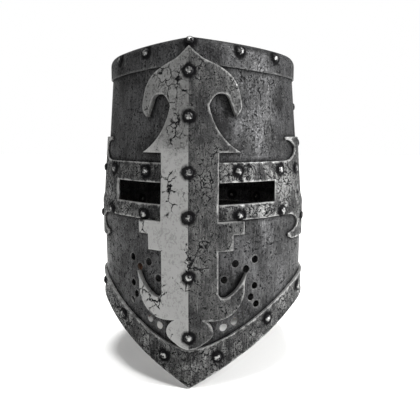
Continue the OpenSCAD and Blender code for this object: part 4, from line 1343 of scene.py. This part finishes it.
buckle_side, buckle_place = strap("strap_with_the_buckle", "buckle_half", "buckle_strap_swivel",
                                  "buckle_strap",
                                  straight + fold, fold_run - 0.3, STRAP_W / 2, [fine(tongue_slot, 2.4)])
billet_holes = [circle(0, -BILLET_DROP + 22 + 14 * i, 2.0, 16) for i in range(5)]
billet_path = straight + [leaned(mid, z) for z in (-26, -50, -80, -110, -BILLET_DROP)]
_, billet_place = strap("strap_with_the_holes", "billet_half", "billet_strap_swivel", "billet_strap",
                        billet_path, BILLET_DROP - 0.3, 3.0, billet_holes)
for body, place, end in (("buckle_half", buckle_place, BUCKLE_DROP - 17),
                         ("billet_half", billet_place, BILLET_DROP - 16)):
    runs = np.arange(12.0, end, 4.2)
    rows = [place(np.full(len(runs), y), np.full(len(runs), d), -runs) for y in (-6.8, 6.8) for d in (1.15,
                                                                                                      -1.15)]
    sewn("stitches_of_" + body, rows, body, 3.3, 0.8)
across = np.arange(-6.8, 7, 3.4)
fold_row = buckle_place(across, np.full(len(across), 1.15), np.full(len(across), -BUCKLE_DROP + 10.5))
sewn("stitches_of_the_fold", [fold_row], "buckle_half", 2.8, 0.8)


def loop_tube(name, centres, radii, normal, closed, sides=14):
    """A bar of round section along points that lie in one plane, which normal stands on."""
    n = len(centres)
    points = []
    for i, (c, r) in enumerate(zip(centres, radii)):
        ahead = centres[(i + 1) % n] if closed or i < n - 1 else c
        behind = centres[i - 1] if closed or i else c
        side = (ahead - behind).normalized().cross(normal).normalized()
        points += [tuple(c + (side * math.cos(a) + normal * math.sin(a)) * r)
                   for a in (2 * math.pi * k / sides for k in range(sides))]
    faces = []
    for i in range(n if closed else n - 1):
        for j in range(sides):
            k = (j + 1) % sides
            faces.append((i * sides + j, (i + 1) % n * sides + j, (i + 1) % n * sides + k, i * sides + k))
    if not closed:
        faces += [tuple(range(sides)), tuple((n - 1) * sides + j for j in reversed(range(sides)))]
    obj = piece(name, points, faces)
    mesh = bmesh.new()
    mesh.from_mesh(obj.data)
    bmesh.ops.recalc_face_normals(mesh, faces=mesh.faces)
    mesh.to_mesh(obj.data)
    mesh.free()
    return finish_mesh(obj)


FRAME_H, WIRE_R = 22.0, 1.5
HALF_FRAME = (STRAP_W + 4 * WIRE_R + 1.6) / 2 - WIRE_R


def bar_point(x, y, z):
    return buckle_side.down(mid + x, y, z - BUCKLE_DROP)


def rounded_loop(half, low, r, n=6):
    """The frame's middle line: straight bar on top, round corners, a straight foot."""
    out = []
    for cy, cz, a0 in ((half - r, -r, 90), (half - r, low + r, 0), (-half + r, low + r, -90),
                       (-half + r, -r, 180)):
        out += arc(cy, cz, r, a0, a0 - 90, n)
    return out


frame_line = rounded_loop(HALF_FRAME, -FRAME_H, 2.6)
frame_radii = [WIRE_R * (0.97 if z > -3 else 0.99 if z < -FRAME_H + 3 else 0.9) for y, z in frame_line]
plane = (bar_point(1, 0, 0) - bar_point(0, 0, 0)).normalized()
buckle = loop_tube("buckle_frame_cast", [bar_point(0, y, z) for y, z in frame_line], frame_radii, plane, True)
dress(buckle, cast, "buckle_brass", ["buckle_frame"], "buckle")
ring_r = 2.35
tongue_line = [(ring_r * math.cos(math.radians(a)),
                -ring_r * math.sin(math.radians(a))) for a in range(150, -151, -20)]
tongue_line += [(-2.45, -5), (-2.5, -10), (-2.5, -15), (-2.5, -20), (-2.45, -FRAME_H - 1.6)]
tongue_radii = [0.6] * (len(tongue_line) - 5) + [0.7, 0.7, 0.7, 0.66, 0.5]
sideways = (bar_point(0, 1, 0) - bar_point(0, 0, 0)).normalized()
tongue = loop_tube("buckle_tongue_bent", [bar_point(x, 0, z) for x, z in tongue_line], tongue_radii, sideways,
                   False, 10)
dress(tongue, cast, "buckle_brass", ["buckle_tongue"], "tongue")

KEEPER_DEEP, KEEPER_WIDE = 5.8, STRAP_W + 2 * GAP
keeper_points, keeper_faces = [], []
for grow in (0.0, 1.6):
    for h in (-4.0, 4.0):
        for turn in range(24):
            a = math.radians(15 * turn + 7.5)
            half_x, half_y = KEEPER_DEEP / 2 + grow, KEEPER_WIDE / 2 + grow
            size = (abs(math.cos(a)) ** 8 + abs(math.sin(a)) ** 8) ** (-1 / 8)
            x, y = half_x * size * math.cos(a), half_y * size * math.sin(a)
            keeper_points.append(tuple(buckle_side.down(mid + x, y, 20 - BUCKLE_DROP + h)))
for i in range(24):
    j = (i + 1) % 24
    keeper_faces += [(48 + i, 48 + j, 72 + j, 72 + i), (j, i, 24 + i, 24 + j),
                     (24 + i, 72 + i, 72 + j, 24 + j),
                     (48 + i, i, j, 48 + j)]
keeper = piece("keeper_of_the_strap", keeper_points, keeper_faces, 0.35, edge=np.full(96, 3.0))
dress(keeper, harness, "strap_leather", ["strap_keeper"], "buckle_half")


# ---------------------------------------------------------------- floor, light and sky
FLOOR = 6.0
floor_mesh = bpy.data.meshes.new("floor")
floor_mesh.from_pydata([(x * FLOOR, y * FLOOR, -0.0005) for x, y in ((-1, -1), (1, -1), (1, 1), (-1, 1))],
                       [], [(0, 1, 2, 3)])
floor = bpy.data.objects.new("floor", floor_mesh)
bpy.context.collection.objects.link(floor)
paper, paper_tree, _ = blank("white_paper")
surface(paper_tree, {}, S_Base_Color=colour("#f7f7f6"), S_Roughness=0.9)
floor_mesh.materials.append(paper)


def softbox(name, at, look, size, power):
    light = bpy.data.lights.new(name, "AREA")
    light.shape = "RECTANGLE"
    light.size, light.size_y = size
    light.energy = power
    obj = bpy.data.objects.new(name, light)
    obj.location = at
    obj.rotation_euler = (Vector(look) - Vector(at)).to_track_quat("-Z", "Y").to_euler()
    bpy.context.collection.objects.link(obj)


softbox("key", (-1.5, -1.3, 1.0), (0, 0, 0.18), (0.9, 1.5), 12)
softbox("right_strip", (1.5, -0.35, 0.6), (0, 0, 0.2), (0.22, 1.6), 70)

# A wide, even light straight down keeps the paper white as far as the horizon
overhead = bpy.data.lights.new("overhead", "SUN")
overhead.energy = 3.8
overhead.angle = math.radians(24)
overhead_lamp = bpy.data.objects.new("overhead", overhead)
overhead_lamp.location = (0, 0, 2)
bpy.context.collection.objects.link(overhead_lamp)

world = bpy.data.worlds.new("studio")
bpy.context.scene.world = world
world.use_nodes = True
sky = world.node_tree
sky.nodes.clear()
seen = add(sky, "ShaderNodeBackground", S_Color=colour("#ffffff"), S_Strength=1.0)
lit = add(sky, "ShaderNodeBackground", S_Color=colour("#ffffff"), S_Strength=0.3)
ray = add(sky, "ShaderNodeLightPath").outputs["Is Camera Ray"]
either = add(sky, "ShaderNodeMixShader", {0: ray, 1: lit.outputs[0], 2: seen.outputs[0]})
add(sky, "ShaderNodeOutputWorld", {"Surface": either.outputs[0]})
bpy.context.scene.view_settings.view_transform = "Standard"
